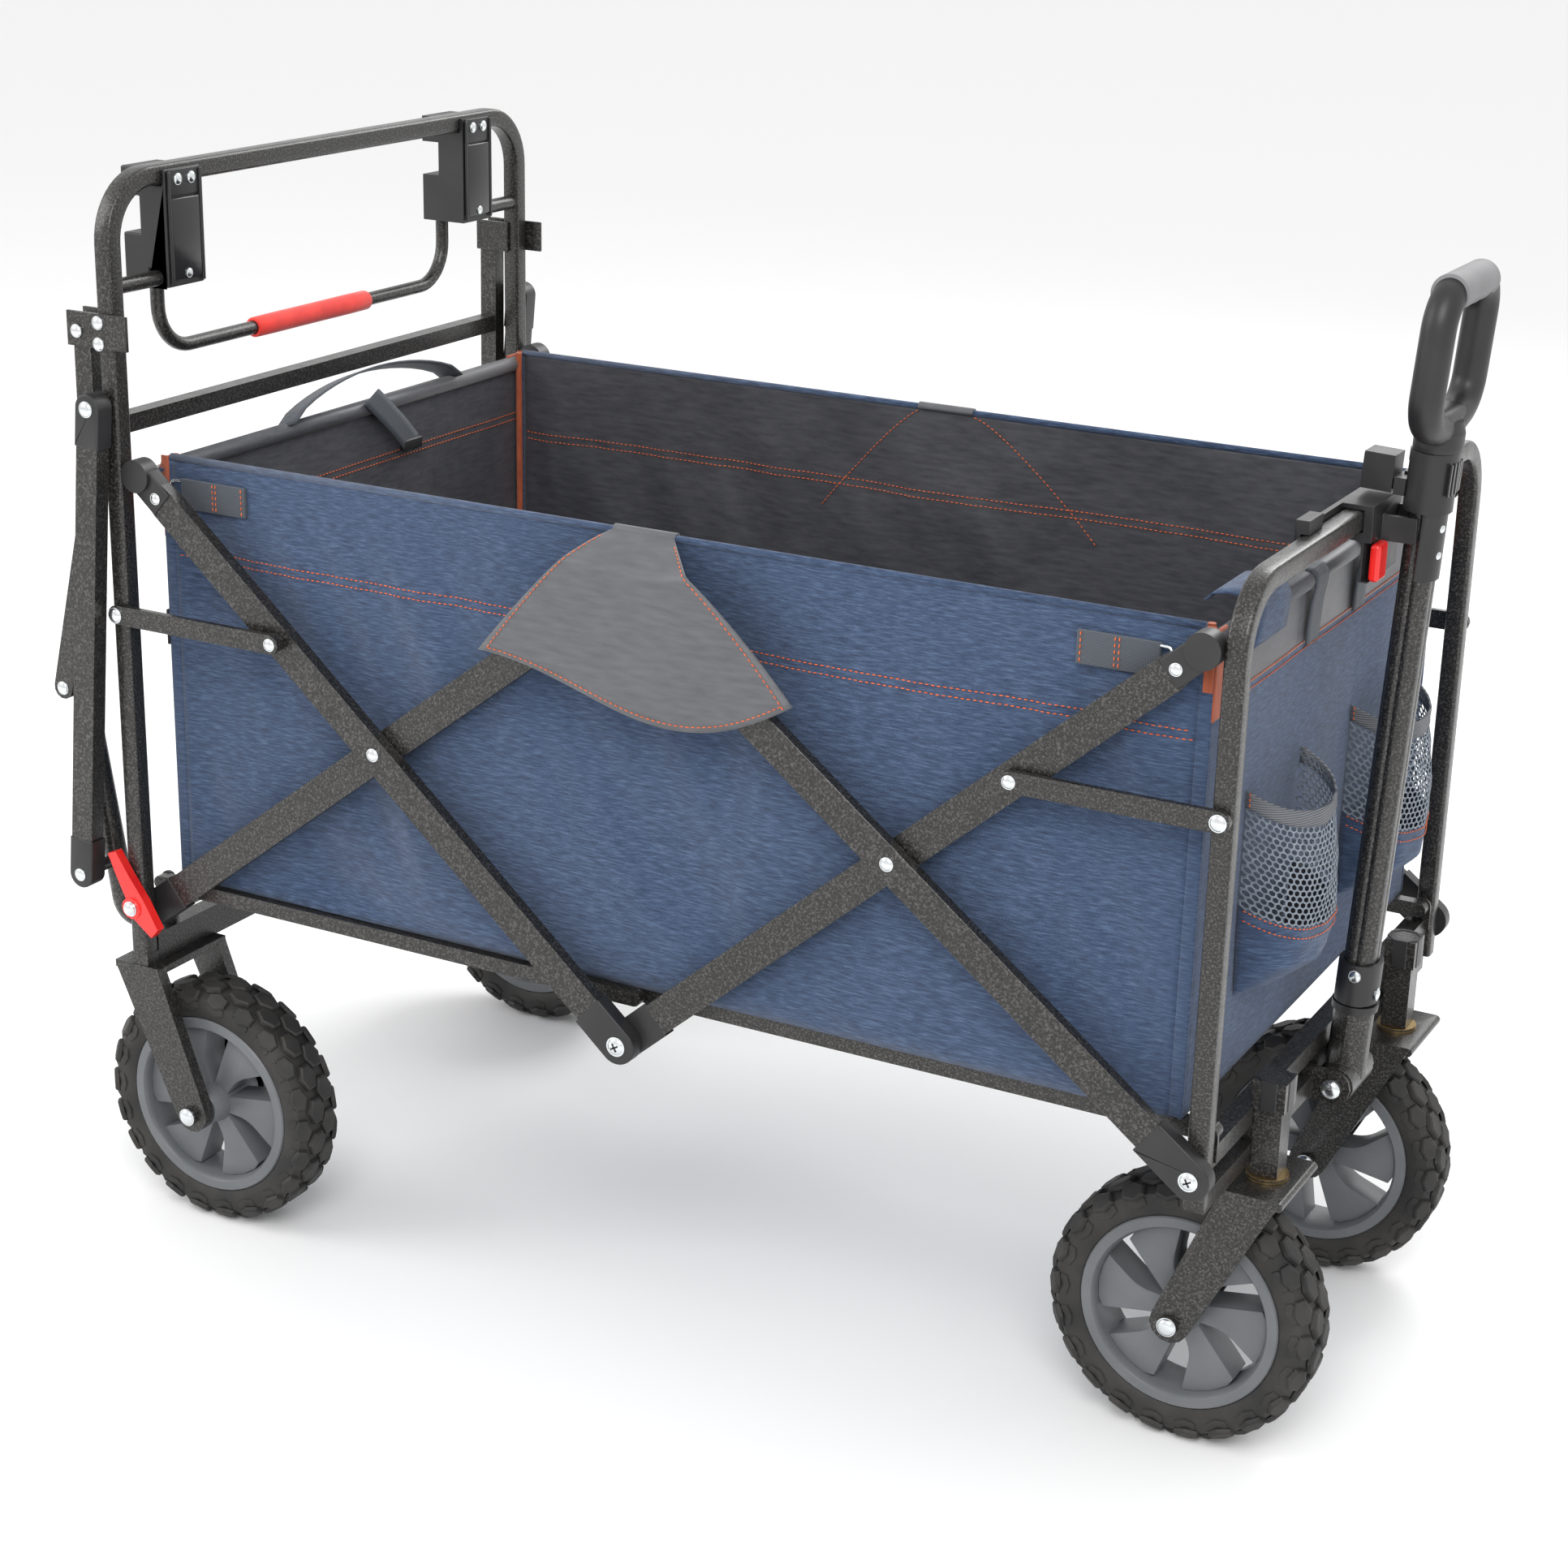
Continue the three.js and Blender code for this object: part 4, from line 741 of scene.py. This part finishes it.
disc = bmesh.ops.create_circle(shape, cap_ends=True, segments=36, radius=1,
                               matrix=Matrix.Translation((0.001, 0, grip_low)) @ Matrix.Diagonal((0.0168, 0.0188, 1, 1)))
face = disc["verts"][0].link_faces[0]
for lift, grow in ((0.003, 1.02), (0.010, 1.0), (0.008, 0.86)):
    made = bmesh.ops.extrude_face_region(shape, geom=[face])["geom"]
    verts = [v for v in made if isinstance(v, bmesh.types.BMVert)]
    face = next(f for f in made if isinstance(f, bmesh.types.BMFace))
    bmesh.ops.translate(shape, vec=(0, 0, lift), verts=verts)
    bmesh.ops.scale(shape, vec=(grow, grow, 1), space=Matrix.Translation((-0.001, 0, 0)), verts=verts)
bmesh.ops.transform(shape, matrix=leaning, verts=shape.verts)
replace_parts(settle("grip_loop", shape, "handle_slide", "black_plastic", black), "grip_body")

pad_grey = finish("grey overmould", Base_Color=(0.2, 0.2, 0.205, 1), Roughness=0.68)
tint(pad_grey, pattern(pad_grey, "Noise", 30, Detail=4.0), (0.3, (0.175, 0.175, 0.18)), (0.7, (0.225, 0.225, 0.232)))
relief(pad_grey, pattern(pad_grey, "Noise", 1500, Detail=2.0), 0.00008, 0.6)
shape = bmesh.new()
disc = bmesh.ops.create_circle(shape, cap_ends=True, segments=28, radius=0.0132,
                               matrix=standing((0.004, -0.037, grip_low + rise), (0, 1, 0)))
rim = list({e for v in disc["verts"] for e in v.link_edges})
steps = 40
for i in range(steps):
    rim = draw_on(shape, rim, (0, 0.074 / steps, 0))
bmesh.ops.edgeloop_fill(shape, edges=rim)
for vert in shape.verts:
    along = (vert.co.y + 0.037) / 0.074
    below = max(0.0, (grip_low + rise - vert.co.z) / 0.0132)
    vert.co.z += below * 0.0034 * (1 - math.cos(along * 4 * math.tau)) / 2
    vert.co.z -= 0.0006 * (1 - below)
bmesh.ops.recalc_face_normals(shape, faces=shape.faces)
bmesh.ops.transform(shape, matrix=leaning, verts=shape.verts)
pad = settle("grip_soft_pad", shape, "handle_slide", "grey_rubber", pad_grey, sharp=60)
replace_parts(pad, "grip_pad")


# ---------------------------------------------------------------- Tub sides
# Two long panels of blue twill lined with dark satin, hemmed over at the rim and hung between the end
# walls. A double orange seam runs below the rim, inside and out.
def weave(material, diagonal, scale, depth):
    """A twill: fine ridges that climb at a slant."""
    ridges = pattern(material, "Wave", scale, turned=diagonal, Distortion=1.2, Detail=1.0)
    relief(material, ridges, depth, 0.5)


denim = finish("blue twill", Roughness=0.86, Sheen_Weight=0.18, Sheen_Roughness=0.5)
slubs = pattern(denim, "Noise", 90, stretch=(1, 1, 9), Detail=5.0, Roughness=0.62)
tint(denim, slubs, (0.32, (0.013, 0.027, 0.066)), (0.5, (0.029, 0.056, 0.118)), (0.68, (0.066, 0.108, 0.195)))
weave(denim, (0, 0.7, 0.7), 420, 0.0004)
relief(denim, pattern(denim, "Noise", 9, Detail=3.0), 0.006, 0.35)
satin = finish("dark satin lining", Roughness=0.42, Sheen_Weight=0.2, Sheen_Roughness=0.4)
tint(satin, pattern(satin, "Noise", 60, stretch=(1, 1, 6), Detail=3.0),
     (0.3, (0.040, 0.041, 0.050)), (0.7, (0.066, 0.067, 0.078)))
relief(satin, pattern(satin, "Wave", 700, turned=(0, 0.8, 0.3)), 0.0001, 0.4)
relief(satin, pattern(satin, "Noise", 13, Detail=4.0), 0.008, 0.5)
thread = finish("orange thread", Base_Color=(0.62, 0.115, 0.03, 1), Roughness=0.6)
tint(thread, pattern(thread, "Noise", 400, Detail=2.0), (0.3, (0.5, 0.085, 0.022)), (0.7, (0.72, 0.15, 0.045)))
relief(thread, pattern(thread, "Noise", 2500), 0.0001)

band_grey = finish("grey satin band", Roughness=0.42, Sheen_Weight=0.2, Sheen_Roughness=0.4)
tint(band_grey, pattern(band_grey, "Noise", 60, stretch=(1, 1, 6), Detail=3.0),
     (0.3, (0.058, 0.060, 0.070)), (0.7, (0.086, 0.088, 0.100)))
relief(band_grey, pattern(band_grey, "Wave", 700, turned=(0, 0.8, 0.3)), 0.0001, 0.4)

side_y, side_reach, floor_z, rim_z = 0.2435, 0.4157, 0.2903, 0.636


def fold_rear(piece):
    """Gives a side piece a mesh of its own."""
    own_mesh(piece)
    return piece


def clamped(value, low=0.0, high=1.0):
    return max(low, min(high, value))


def draped(columns, rows, place):
    """A flat grid of cloth laid out by a rule that gives each point its place."""
    shape = bmesh.new()
    bmesh.ops.create_grid(shape, x_segments=columns, y_segments=rows, size=0.5)
    for vert in shape.verts:
        vert.co = place(vert.co.x + 0.5, vert.co.y + 0.5)
    return shape


def doubled(piece, thickness, lining=0, offset=-1.0):
    """Gives a sheet its thickness, with another cloth on its back."""
    wall = piece.modifiers.new("cloth thickness", "SOLIDIFY")
    wall.thickness = thickness
    wall.offset = offset
    wall.material_offset = lining
    wall.use_even_offset = False
    return piece


def slack(x, z):
    """How far a side panel stands out from its flat plane: soft upright folds, and puckers at the seams."""
    calm = clamped((z - floor_z) / 0.02) * clamped((rim_z - z) / 0.09) * clamped((side_reach - abs(x)) / 0.03)
    folds = noise.noise(Vector((x * 7, 1.3, z * 2.2))) * 0.0135 + noise.noise(Vector((x * 23 + z * 9, 4.1, z * 9))) * 0.0052
    pull = 0.0020 * math.sin((x - z) * 34) * clamped((abs(x) - 0.22) / 0.2)
    pucker = 0.0004 * math.sin(x * 330) * math.exp(-((z - 0.559) / 0.012) ** 2)
    return clamped((folds + pull) * calm, -0.0115, 0.0036) + pucker


def stitches(name, body, runs, slot="denim", pitch=0.0044, width=0.00055):
    """Runs of short thread dashes that lie on the cloth."""
    shape = bmesh.new()
    for run in runs:
        left = pitch / 2
        for first, second in zip(run, run[1:]):
            first, second = Vector(first), Vector(second)
            length = (second - first).length
            while left < length:
                middle = first.lerp(second, left / length)
                stand = standing(middle, second - first)
                bmesh.ops.create_icosphere(shape, subdivisions=1, radius=1,
                                           matrix=stand @ Matrix.Diagonal((width, width, pitch * 0.40, 1)))
                left += pitch
            left -= length
    return settle(name, shape, body, slot, thread, sharp=180)


for side, word in ((-1, "right"), (1, "left")):
    def panel(u, v, side=side):
        x = side * -1 * (u * 2 - 1) * side_reach
        z = floor_z + (rim_z - 0.0015 - floor_z) * v
        return Vector((x, side * (side_y + slack(x, z)), z))

    piece = settle(f"side_cloth_{word}", draped(150, 60, panel), "tub_rear", "denim", denim, satin, sharp=180)
    doubled(piece, 0.0022, 1)
    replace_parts(piece, f"tub_side_{word}")
    fold_rear(piece)
    shape = bmesh.new()
    bent_tube(shape, [(-side_reach, side * (side_y - 0.0011), rim_z - 0.0028),
                      (side_reach, side * (side_y - 0.0011), rim_z - 0.0028)], 0.01, 0.0056, sides=14)
    hem = fold_rear(settle(f"side_hem_{word}", shape, "tub_rear", "denim", denim, sharp=180))
    runs = []
    for z in (0.5630, 0.5570):
        for inset in (0.0004, -0.0027):
            xs = [-side_reach + 0.004 + i * (2 * side_reach - 0.008) / 160 for i in range(161)]
            runs.append([(x, side * (side_y + slack(x, z) + inset), z) for x in xs])
    seams = fold_rear(stitches(f"side_seams_{word}", "tub_rear", runs))

# ---------------------------------------------------------------- Top flaps
# A grey satin flap covers each upper pivot. It is sewn over the rim with orange thread, and its outline
# shows again on the lining.
flap_grey = finish("grey satin flap", Roughness=0.4, Sheen_Weight=0.2, Sheen_Roughness=0.4)
tint(flap_grey, pattern(flap_grey, "Noise", 50, stretch=(1, 1, 5), Detail=3.0),
     (0.3, (0.076, 0.078, 0.086)), (0.7, (0.104, 0.106, 0.116)))
relief(flap_grey, pattern(flap_grey, "Wave", 650, turned=(0, 0.8, 0.2)), 0.0001, 0.5)
relief(flap_grey, pattern(flap_grey, "Noise", 24, Detail=2.0), 0.003, 0.4)


def flap_outline(u, v):
    """The flap seen from the side: v runs from the rim down to its hanging edge."""
    left, right = -0.022 - 0.090 * v ** 0.85, 0.028 + 0.113 * v ** 0.75
    low = 0.541 - 0.031 * math.sin(math.pi * u ** 1.6)
    return left + (right - left) * u, 0.6345 + (low - 0.6345) * v


def flap_point(u, t, side, lift=0.0):
    """A place on the flap: t runs from the lining over the hem, then down outside."""
    v = clamped((t - 0.2) / 0.8)
    x, z = flap_outline(u, v)
    if t < 0.2:
        turn = math.pi * (1.1 - t / 0.2)
        return Vector((x, side * (0.2424 + (0.0043 + lift) * math.cos(turn)), 0.6332 + (0.0043 + lift) * math.sin(turn)))
    stand_off = 0.2465 + 0.0352 * clamped(v / 0.17) ** 0.7 + 0.0025 * math.sin(u * math.pi) * v
    ripple = 0.0014 * math.sin(u * 9 + v * 3) * v
    return Vector((x, side * (stand_off + ripple + lift), z))


for side, word in ((-1, "right"), (1, "left")):
    def flap_place(u, v, side=side):
        return flap_point(u if side < 0 else 1 - u, 1 - v, side)

    flap = settle(f"flap_{word}", draped(40, 40, flap_place), "tub_rear", "denim", flap_grey, satin, sharp=180)
    doubled(flap, 0.0014, 1)
    fold_rear(flap)
    marks = [i / 30 for i in range(31)]
    outline = [[flap_point(u, 0.22 + 0.77 * t, side, 0.0004) for t in marks] for u in (0.022, 0.978)]
    outline.append([flap_point(0.022 + 0.956 * t, 0.975, side, 0.0004) for t in marks])
    seams = fold_rear(stitches(f"flap_stitches_{word}", "tub_rear", outline))
    inner = [[flap_outline(u, t) for t in marks] for u in (0.0, 1.0)]
    inner = [[(x, side * (side_y + slack(x, z - 0.004) - 0.0027), z - 0.004) for x, z in run] for run in inner]
    fold_rear(stitches(f"flap_lining_stitches_{word}", "tub_rear", inner))

# ---------------------------------------------------------------- Floor mat
# Four stiff boards sewn between two cloths, dark satin above, lying on the rails.
def mat_place(u, v):
    x, y = (u * 2 - 1) * side_reach, (v * 2 - 1) * 0.2395
    crease = sum(math.exp(-((x - line) / 0.004) ** 2) for line in (-0.2, 0.0, 0.2))
    return Vector((x, y, 0.2931 - 0.0012 * crease))


mat = settle("floor_mat", draped(120, 24, mat_place), "tub_rear", "denim", satin, denim, sharp=180)
doubled(mat, 0.0026, 1)
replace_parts(mat, "tub_floor")
fold_rear(mat)

# ---------------------------------------------------------------- End walls
# Each end wall wraps its hub rod in a sewn sleeve. Grey satin above a double orange seam, blue twill
# below, dark lining inside.
def wall_slack(y, z):
    calm = clamped((z - floor_z) / 0.02) * clamped((0.60 - z) / 0.05) * clamped((0.243 - abs(y)) / 0.03)
    return noise.noise(Vector((y * 11, 7.7, z * 4))) * 0.004 * calm


for end, word, body in ((-1, "rear", "tub_rear"), (1, "front", "tub_front")):
    def wall(u, v, end=end):
        y, z = end * (u * 2 - 1) * side_y, floor_z + (0.6215 - floor_z) * v
        return Vector((end * (0.4238 + wall_slack(y, z)), y, z))

    shape = draped(60, 60, wall)
    for face in shape.faces:
        face.material_index = 1 if face.calc_center_median().z > 0.578 else 0
    piece = settle(f"{word}_wall_cloth", shape, body, "denim", denim, band_grey, satin, satin, sharp=180)
    doubled(piece, 0.0022, 2)
    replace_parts(piece, f"tub_{word}_wall")
    shape = bmesh.new()
    bent_tube(shape, [(end * 0.423, -0.2395, 0.6235), (end * 0.423, 0.2395, 0.6235)], 0.01, 0.0134, sides=20)
    hem = settle(f"{word}_wall_hem", shape, body, "denim", band_grey, sharp=180)
    runs = []
    for z in (0.5795, 0.5738):
        for inset in (0.0005, -0.0027):
            ys = [-0.240 + i * 0.48 / 80 for i in range(81)]
            runs.append([(end * (0.4238 + wall_slack(y, z) + inset), y, z) for y in ys])
    seams = stitches(f"{word}_wall_seams", body, runs)

# ---------------------------------------------------------------- Corner bindings
# Orange tape binds the corners, inside from rim to floor and outside beside the satin band. A narrow fold
# of twill closes each corner.
binding = finish("orange tape", Roughness=0.7, Sheen_Weight=0.15)
tint(binding, pattern(binding, "Noise", 220, stretch=(1, 1, 0.3), Detail=3.0),
     (0.3, (0.30, 0.058, 0.018)), (0.7, (0.46, 0.095, 0.03)))
relief(binding, pattern(binding, "Wave", 900, turned=(0, 0.785, 0)), 0.0001)


def span(one, other):
    return min(one, other), max(one, other)


for end, word, body in ((-1, "rear", "tub_rear"), (1, "front", "tub_front")):
    for side, hand in ((-1, "right"), (1, "left")):
        shape = bmesh.new()
        bent_tube(shape, [(end * 0.4172, side * 0.2364, floor_z + 0.004), (end * 0.4172, side * 0.2364, 0.634)],
                  0.01, 0.0058, sides=12)
        (x0, x1), (y0, y1) = span(end * 0.4228, end * 0.4252), span(side * 0.2275, side * 0.2438)
        slab(shape, (x0, y0, 0.570), (x1, y1, 0.632), 0.0009)
        (x0, x1), (y0, y1) = span(end * 0.4170, end * 0.4240), span(side * 0.2436, side * 0.2452)
        slab(shape, (x0, y0, 0.590), (x1, y1, 0.634), 0.0006)
        tape = settle(f"{word}_corner_tape_{hand}", shape, body, "denim", binding)
        shape = bmesh.new()
        (x0, x1), (y0, y1) = span(end * 0.4146, end * 0.4244), span(side * 0.2410, side * 0.2442)
        slab(shape, (x0, y0, floor_z + 0.001), (x1, y1, 0.633), 0.0011)
        piece = settle(f"{word}_corner_fold_{hand}", shape, body, "denim", denim)

# ---------------------------------------------------------------- Corner tabs and rings
# Grey webbing tabs are sewn near each top corner with orange thread, and each holds a wire ring.
webbing = finish("grey webbing", Roughness=0.75, Sheen_Weight=0.15)
ribs = pattern(webbing, "Wave", 330, turned=(0, 1.5708, 0), Distortion=0.6)
tint(webbing, ribs, (0.2, (0.040, 0.048, 0.060)), (0.8, (0.078, 0.090, 0.108)))
relief(webbing, ribs, 0.0004, 0.6)
relief(webbing, pattern(webbing, "Wave", 420, turned=(0, 0, 0.785)), 0.0002, 0.5)
for side, word in ((-1, "right"), (1, "left")):
    tabs, rings, runs = bmesh.new(), bmesh.new(), []
    for start, end in ((0.330, 0.388), (-0.344, -0.404)):
        low_x, high_x = span(start, end)
        y0, y1 = span(side * 0.2438, side * 0.2474)
        slab(tabs, (low_x, y0, 0.5955), (high_x, y1, 0.6185), 0.0009)
        way = 1 if end > start else -1
        bent_tube(rings, [(end, side * 0.2470, 0.597), (end + way * 0.008, side * 0.2478, 0.597),
                          (end + way * 0.008, side * 0.2478, 0.617), (end, side * 0.2470, 0.617)], 0.003, 0.0022,
                  steps=5, sides=10)
        for x in (start + way * 0.003, start + way * 0.027, start + way * 0.030):
            runs.append([(x, side * 0.2477, 0.5965), (x, side * 0.2477, 0.6175)])
    piece = fold_rear(settle(f"corner_tabs_{word}", tabs, "tub_rear", "denim", webbing))
    wires = fold_rear(settle(f"corner_rings_{word}", rings, "tub_rear", "denim", zinc))
    seams = fold_rear(stitches(f"corner_tab_stitches_{word}", "tub_rear", runs))


# ---------------------------------------------------------------- Front wall straps
# Two ribbed grey straps hang from the sleeve, and a denim tab folds over it near the right corner.
def ribbon(name, body, path, across_by, cloth, slot="denim", thickness=0.0016):
    """A flat strap laid along a path, its width given as a vector."""
    path, across_by = [Vector(p) for p in path], Vector(across_by)

    def lay(u, v):
        at = u * (len(path) - 1)
        i = min(int(at), len(path) - 2)
        return path[i].lerp(path[i + 1], at - i) + across_by * (v - 0.5)

    piece = settle(name, draped((len(path) - 1) * 3, 4, lay), body, slot, cloth, sharp=180)
    doubled(piece, thickness, offset=0)
    length = sum((b - a).length for a, b in zip(path, path[1:]))
    return piece


for name, y in (("front_strap_right", -0.057), ("front_strap_left", 0.044)):
    ribbon(name, "tub_front", [(0.4215, y, 0.6312), (0.4265, y, 0.6308), (0.4300, y, 0.6270), (0.4302, y, 0.6200),
                               (0.4280, y, 0.6080), (0.4268, y, 0.5900), (0.4266, y, 0.5780)], (0, 0.025, 0), webbing)
ribbon("front_tab", "tub_front", [(0.3930, -0.155, 0.6330), (0.3985, -0.155, 0.6385), (0.4080, -0.155, 0.6405),
                                  (0.4190, -0.155, 0.6400), (0.4270, -0.155, 0.6370), (0.4306, -0.155, 0.6290),
                                  (0.4300, -0.155, 0.6180), (0.4285, -0.155, 0.6060)], (0, 0.062, 0), denim)

# ---------------------------------------------------------------- Cup pockets
# A bowl of twill sewn to the front wall, topped by hexagonal net and a ribbed elastic band that dips
# forwards. A double orange seam joins the twill and the net.
net_grey = finish("grey net", Base_Color=(0.16, 0.19, 0.23, 1), Roughness=0.6)
tint(net_grey, pattern(net_grey, "Noise", 200, Detail=2.0), (0.3, (0.13, 0.155, 0.19)), (0.7, (0.24, 0.275, 0.32)))
relief(net_grey, pattern(net_grey, "Wave", 900), 0.0001)
elastic = finish("ribbed elastic", Roughness=0.7)
elastic_ribs = pattern(elastic, "Wave", 190, turned=(0, 1.5708, 0))
tint(elastic, elastic_ribs, (0.2, (0.07, 0.075, 0.085)), (0.8, (0.17, 0.18, 0.195)))
relief(elastic, elastic_ribs, 0.0006, 0.6)


def cup_point(s, height, side, lift=0.0):
    """A place on a cup pocket: s from 0 to 1 round it, height above the ground."""
    angle = (s - 0.5) * math.pi
    fullness = clamped((height - 0.350) / 0.024) ** 0.5
    belly = 0.047 - 0.010 * clamped((height - 0.43) / 0.07) - 0.004 * clamped((0.40 - height) / 0.05)
    crease = noise.noise(Vector((s * 9, side * 3.1, height * 60))) * 0.0022
    depth = max(0.0, belly * fullness + crease * math.sin(s * math.pi) + lift)
    width = 0.054 - 0.004 * clamped((0.40 - height) / 0.05)
    return Vector((0.4250 + depth * max(math.cos(angle), 0.0) ** 0.8,
                   side * 0.110 + (width + lift) * math.sin(angle), height))


def cup_fold(piece):
    """Gives a pocket piece a mesh of its own."""
    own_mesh(piece)
    return piece


def dip(s, wall_height, front_height):
    """The height of a seam that drops from the wall to the front of the pocket."""
    return wall_height + (front_height - wall_height) * max(math.sin(s * math.pi), 0.0) ** 0.9


for side, word in ((-1, "right"), (1, "left")):
    def bowl(u, v, side=side):
        return cup_point(u, 0.351 + (dip(u, 0.4175, 0.4000) - 0.351) * v, side)

    piece = settle(f"cup_bowl_{word}", draped(48, 20, bowl), "tub_front", "mesh", denim, satin, sharp=180)
    doubled(piece, 0.0013, 1)
    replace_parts(piece, f"cup_pocket_{word}")
    bowl_piece = cup_fold(piece)

    net = bmesh.new()
    cell, strand, around, tall = 0.0033, 0.00085, 0.158, 0.096
    columns, rows = int(around / (cell * math.sqrt(3))), int(tall / (cell * 1.5))
    for row in range(rows + 1):
        for column in range(columns + 1):
            x = (column + (0.5 if row % 2 else 0)) * cell * math.sqrt(3)
            bmesh.ops.create_circle(net, cap_ends=True, segments=6, radius=cell,
                                    matrix=Matrix.Translation((x, row * cell * 1.5, 0)))
    holes = net.faces[:]
    bmesh.ops.inset_individual(net, faces=holes, thickness=strand, depth=0)
    bmesh.ops.delete(net, geom=holes, context="FACES_ONLY")
    bmesh.ops.remove_doubles(net, verts=net.verts, dist=0.0003)
    width = max(v.co.x for v in net.verts)
    tallest = max(v.co.y for v in net.verts)
    for vert in net.verts:
        s = clamped(vert.co.x / width)
        low, high = dip(s, 0.4165, 0.3990), dip(s, 0.4990, 0.4800)
        vert.co = cup_point(s, low + (high - low) * clamped(vert.co.y / tallest), side)
    net_piece = cup_fold(doubled(settle(f"cup_net_{word}", net, "tub_front", "mesh", net_grey, sharp=180), 0.0007, offset=0))

    def band(u, v, side=side):
        return cup_point(u, dip(u, 0.4890, 0.4715) + 0.0115 * v, side, 0.0007)

    piece = settle(f"cup_band_{word}", draped(48, 4, band), "tub_front", "mesh", elastic, sharp=180)
    doubled(piece, 0.0018, offset=0)
    cup_fold(piece)
    marks = [0.01 + 0.98 * i / 50 for i in range(51)]
    runs = [[cup_point(s, dip(s, 0.4175, 0.4000) - drop, side, 0.0008) for s in marks] for drop in (0.0015, 0.0085)]
    runs += [[cup_point(s, 0.489 + 0.0115 * i / 6, side, 0.0018) for i in range(7)] for s in (0.012, 0.988)]
    seams = cup_fold(stitches(f"cup_seams_{word}", "tub_front", runs, "mesh", 0.0038))

# ---------------------------------------------------------------- Rear pocket and strap
# A flat twill pocket is sewn behind the rear wall, with an orange seam near each end and black tape below.
# A webbing handle arches over the rim, and a strap with a small black buckle hangs inside.
tape_black = finish("black tape", Base_Color=(0.012, 0.012, 0.014, 1), Roughness=0.8)
relief(tape_black, pattern(tape_black, "Wave", 700, turned=(0, 0.785, 0)), 0.0001)
polish(tape_black, pattern(tape_black, "Noise", 200), 0.7, 0.9)


def pocket(u, v):
    y = (u * 2 - 1) * -0.190
    z = 0.315 + 0.195 * v
    swell = math.sin(clamped(1 - abs(y) / 0.190) ** 0.4 * math.pi / 2)
    return Vector((-0.4262 - 0.0245 * swell + noise.noise(Vector((y * 14, 2.2, z * 9))) * 0.0016 * swell, y, z))


piece = settle("rear_pocket_cloth", draped(70, 24, pocket), "tub_rear", "denim", denim, satin, sharp=180)
doubled(piece, 0.0016, 1)
shape = bmesh.new()
slab(shape, (-0.4500, -0.188, 0.3115), (-0.4250, 0.188, 0.3165), 0.0014)
slab(shape, (-0.4512, -0.186, 0.5040), (-0.4490, 0.186, 0.5110), 0.0009)
tapes = settle("rear_pocket_tape", shape, "tub_rear", "denim", tape_black)
seams = stitches("rear_pocket_seams", "tub_rear",
                 [[pocket(u, v / 30) + Vector((-0.0004, 0, 0)) for v in range(31)] for u in (0.035, 0.965)])
shape = bmesh.new()
slab(shape, (-0.4262, -0.2452, 0.484), (-0.4240, -0.2300, 0.512), 0.0006)
settle("blank_label", shape, "tub_rear", "denim", tape_black)
arch = [(-0.4215 - 0.004 * math.sin(t * math.pi), -0.095 + 0.235 * t,
         0.628 + 0.026 * max(math.sin(t * math.pi), 0.0) ** 0.6) for t in [i / 16 for i in range(17)]]
ribbon("rear_handle_strap", "tub_rear", arch, (0.020, 0, 0.008), webbing)
hang = [(-0.4150 + 0.0035 * math.sin(t * 2.4), 0.012 + 0.052 * t, 0.634 - 0.048 * t) for t in [i / 10 for i in range(11)]]
ribbon("rear_hanging_strap", "tub_rear", hang, (0.0, 0.020, 0.010), webbing)
shape = bmesh.new()
slab(shape, (-0.4170, 0.052, 0.580), (-0.4105, 0.078, 0.590), 0.0018)
settle("strap_buckle", shape, "tub_rear", "denim", black)
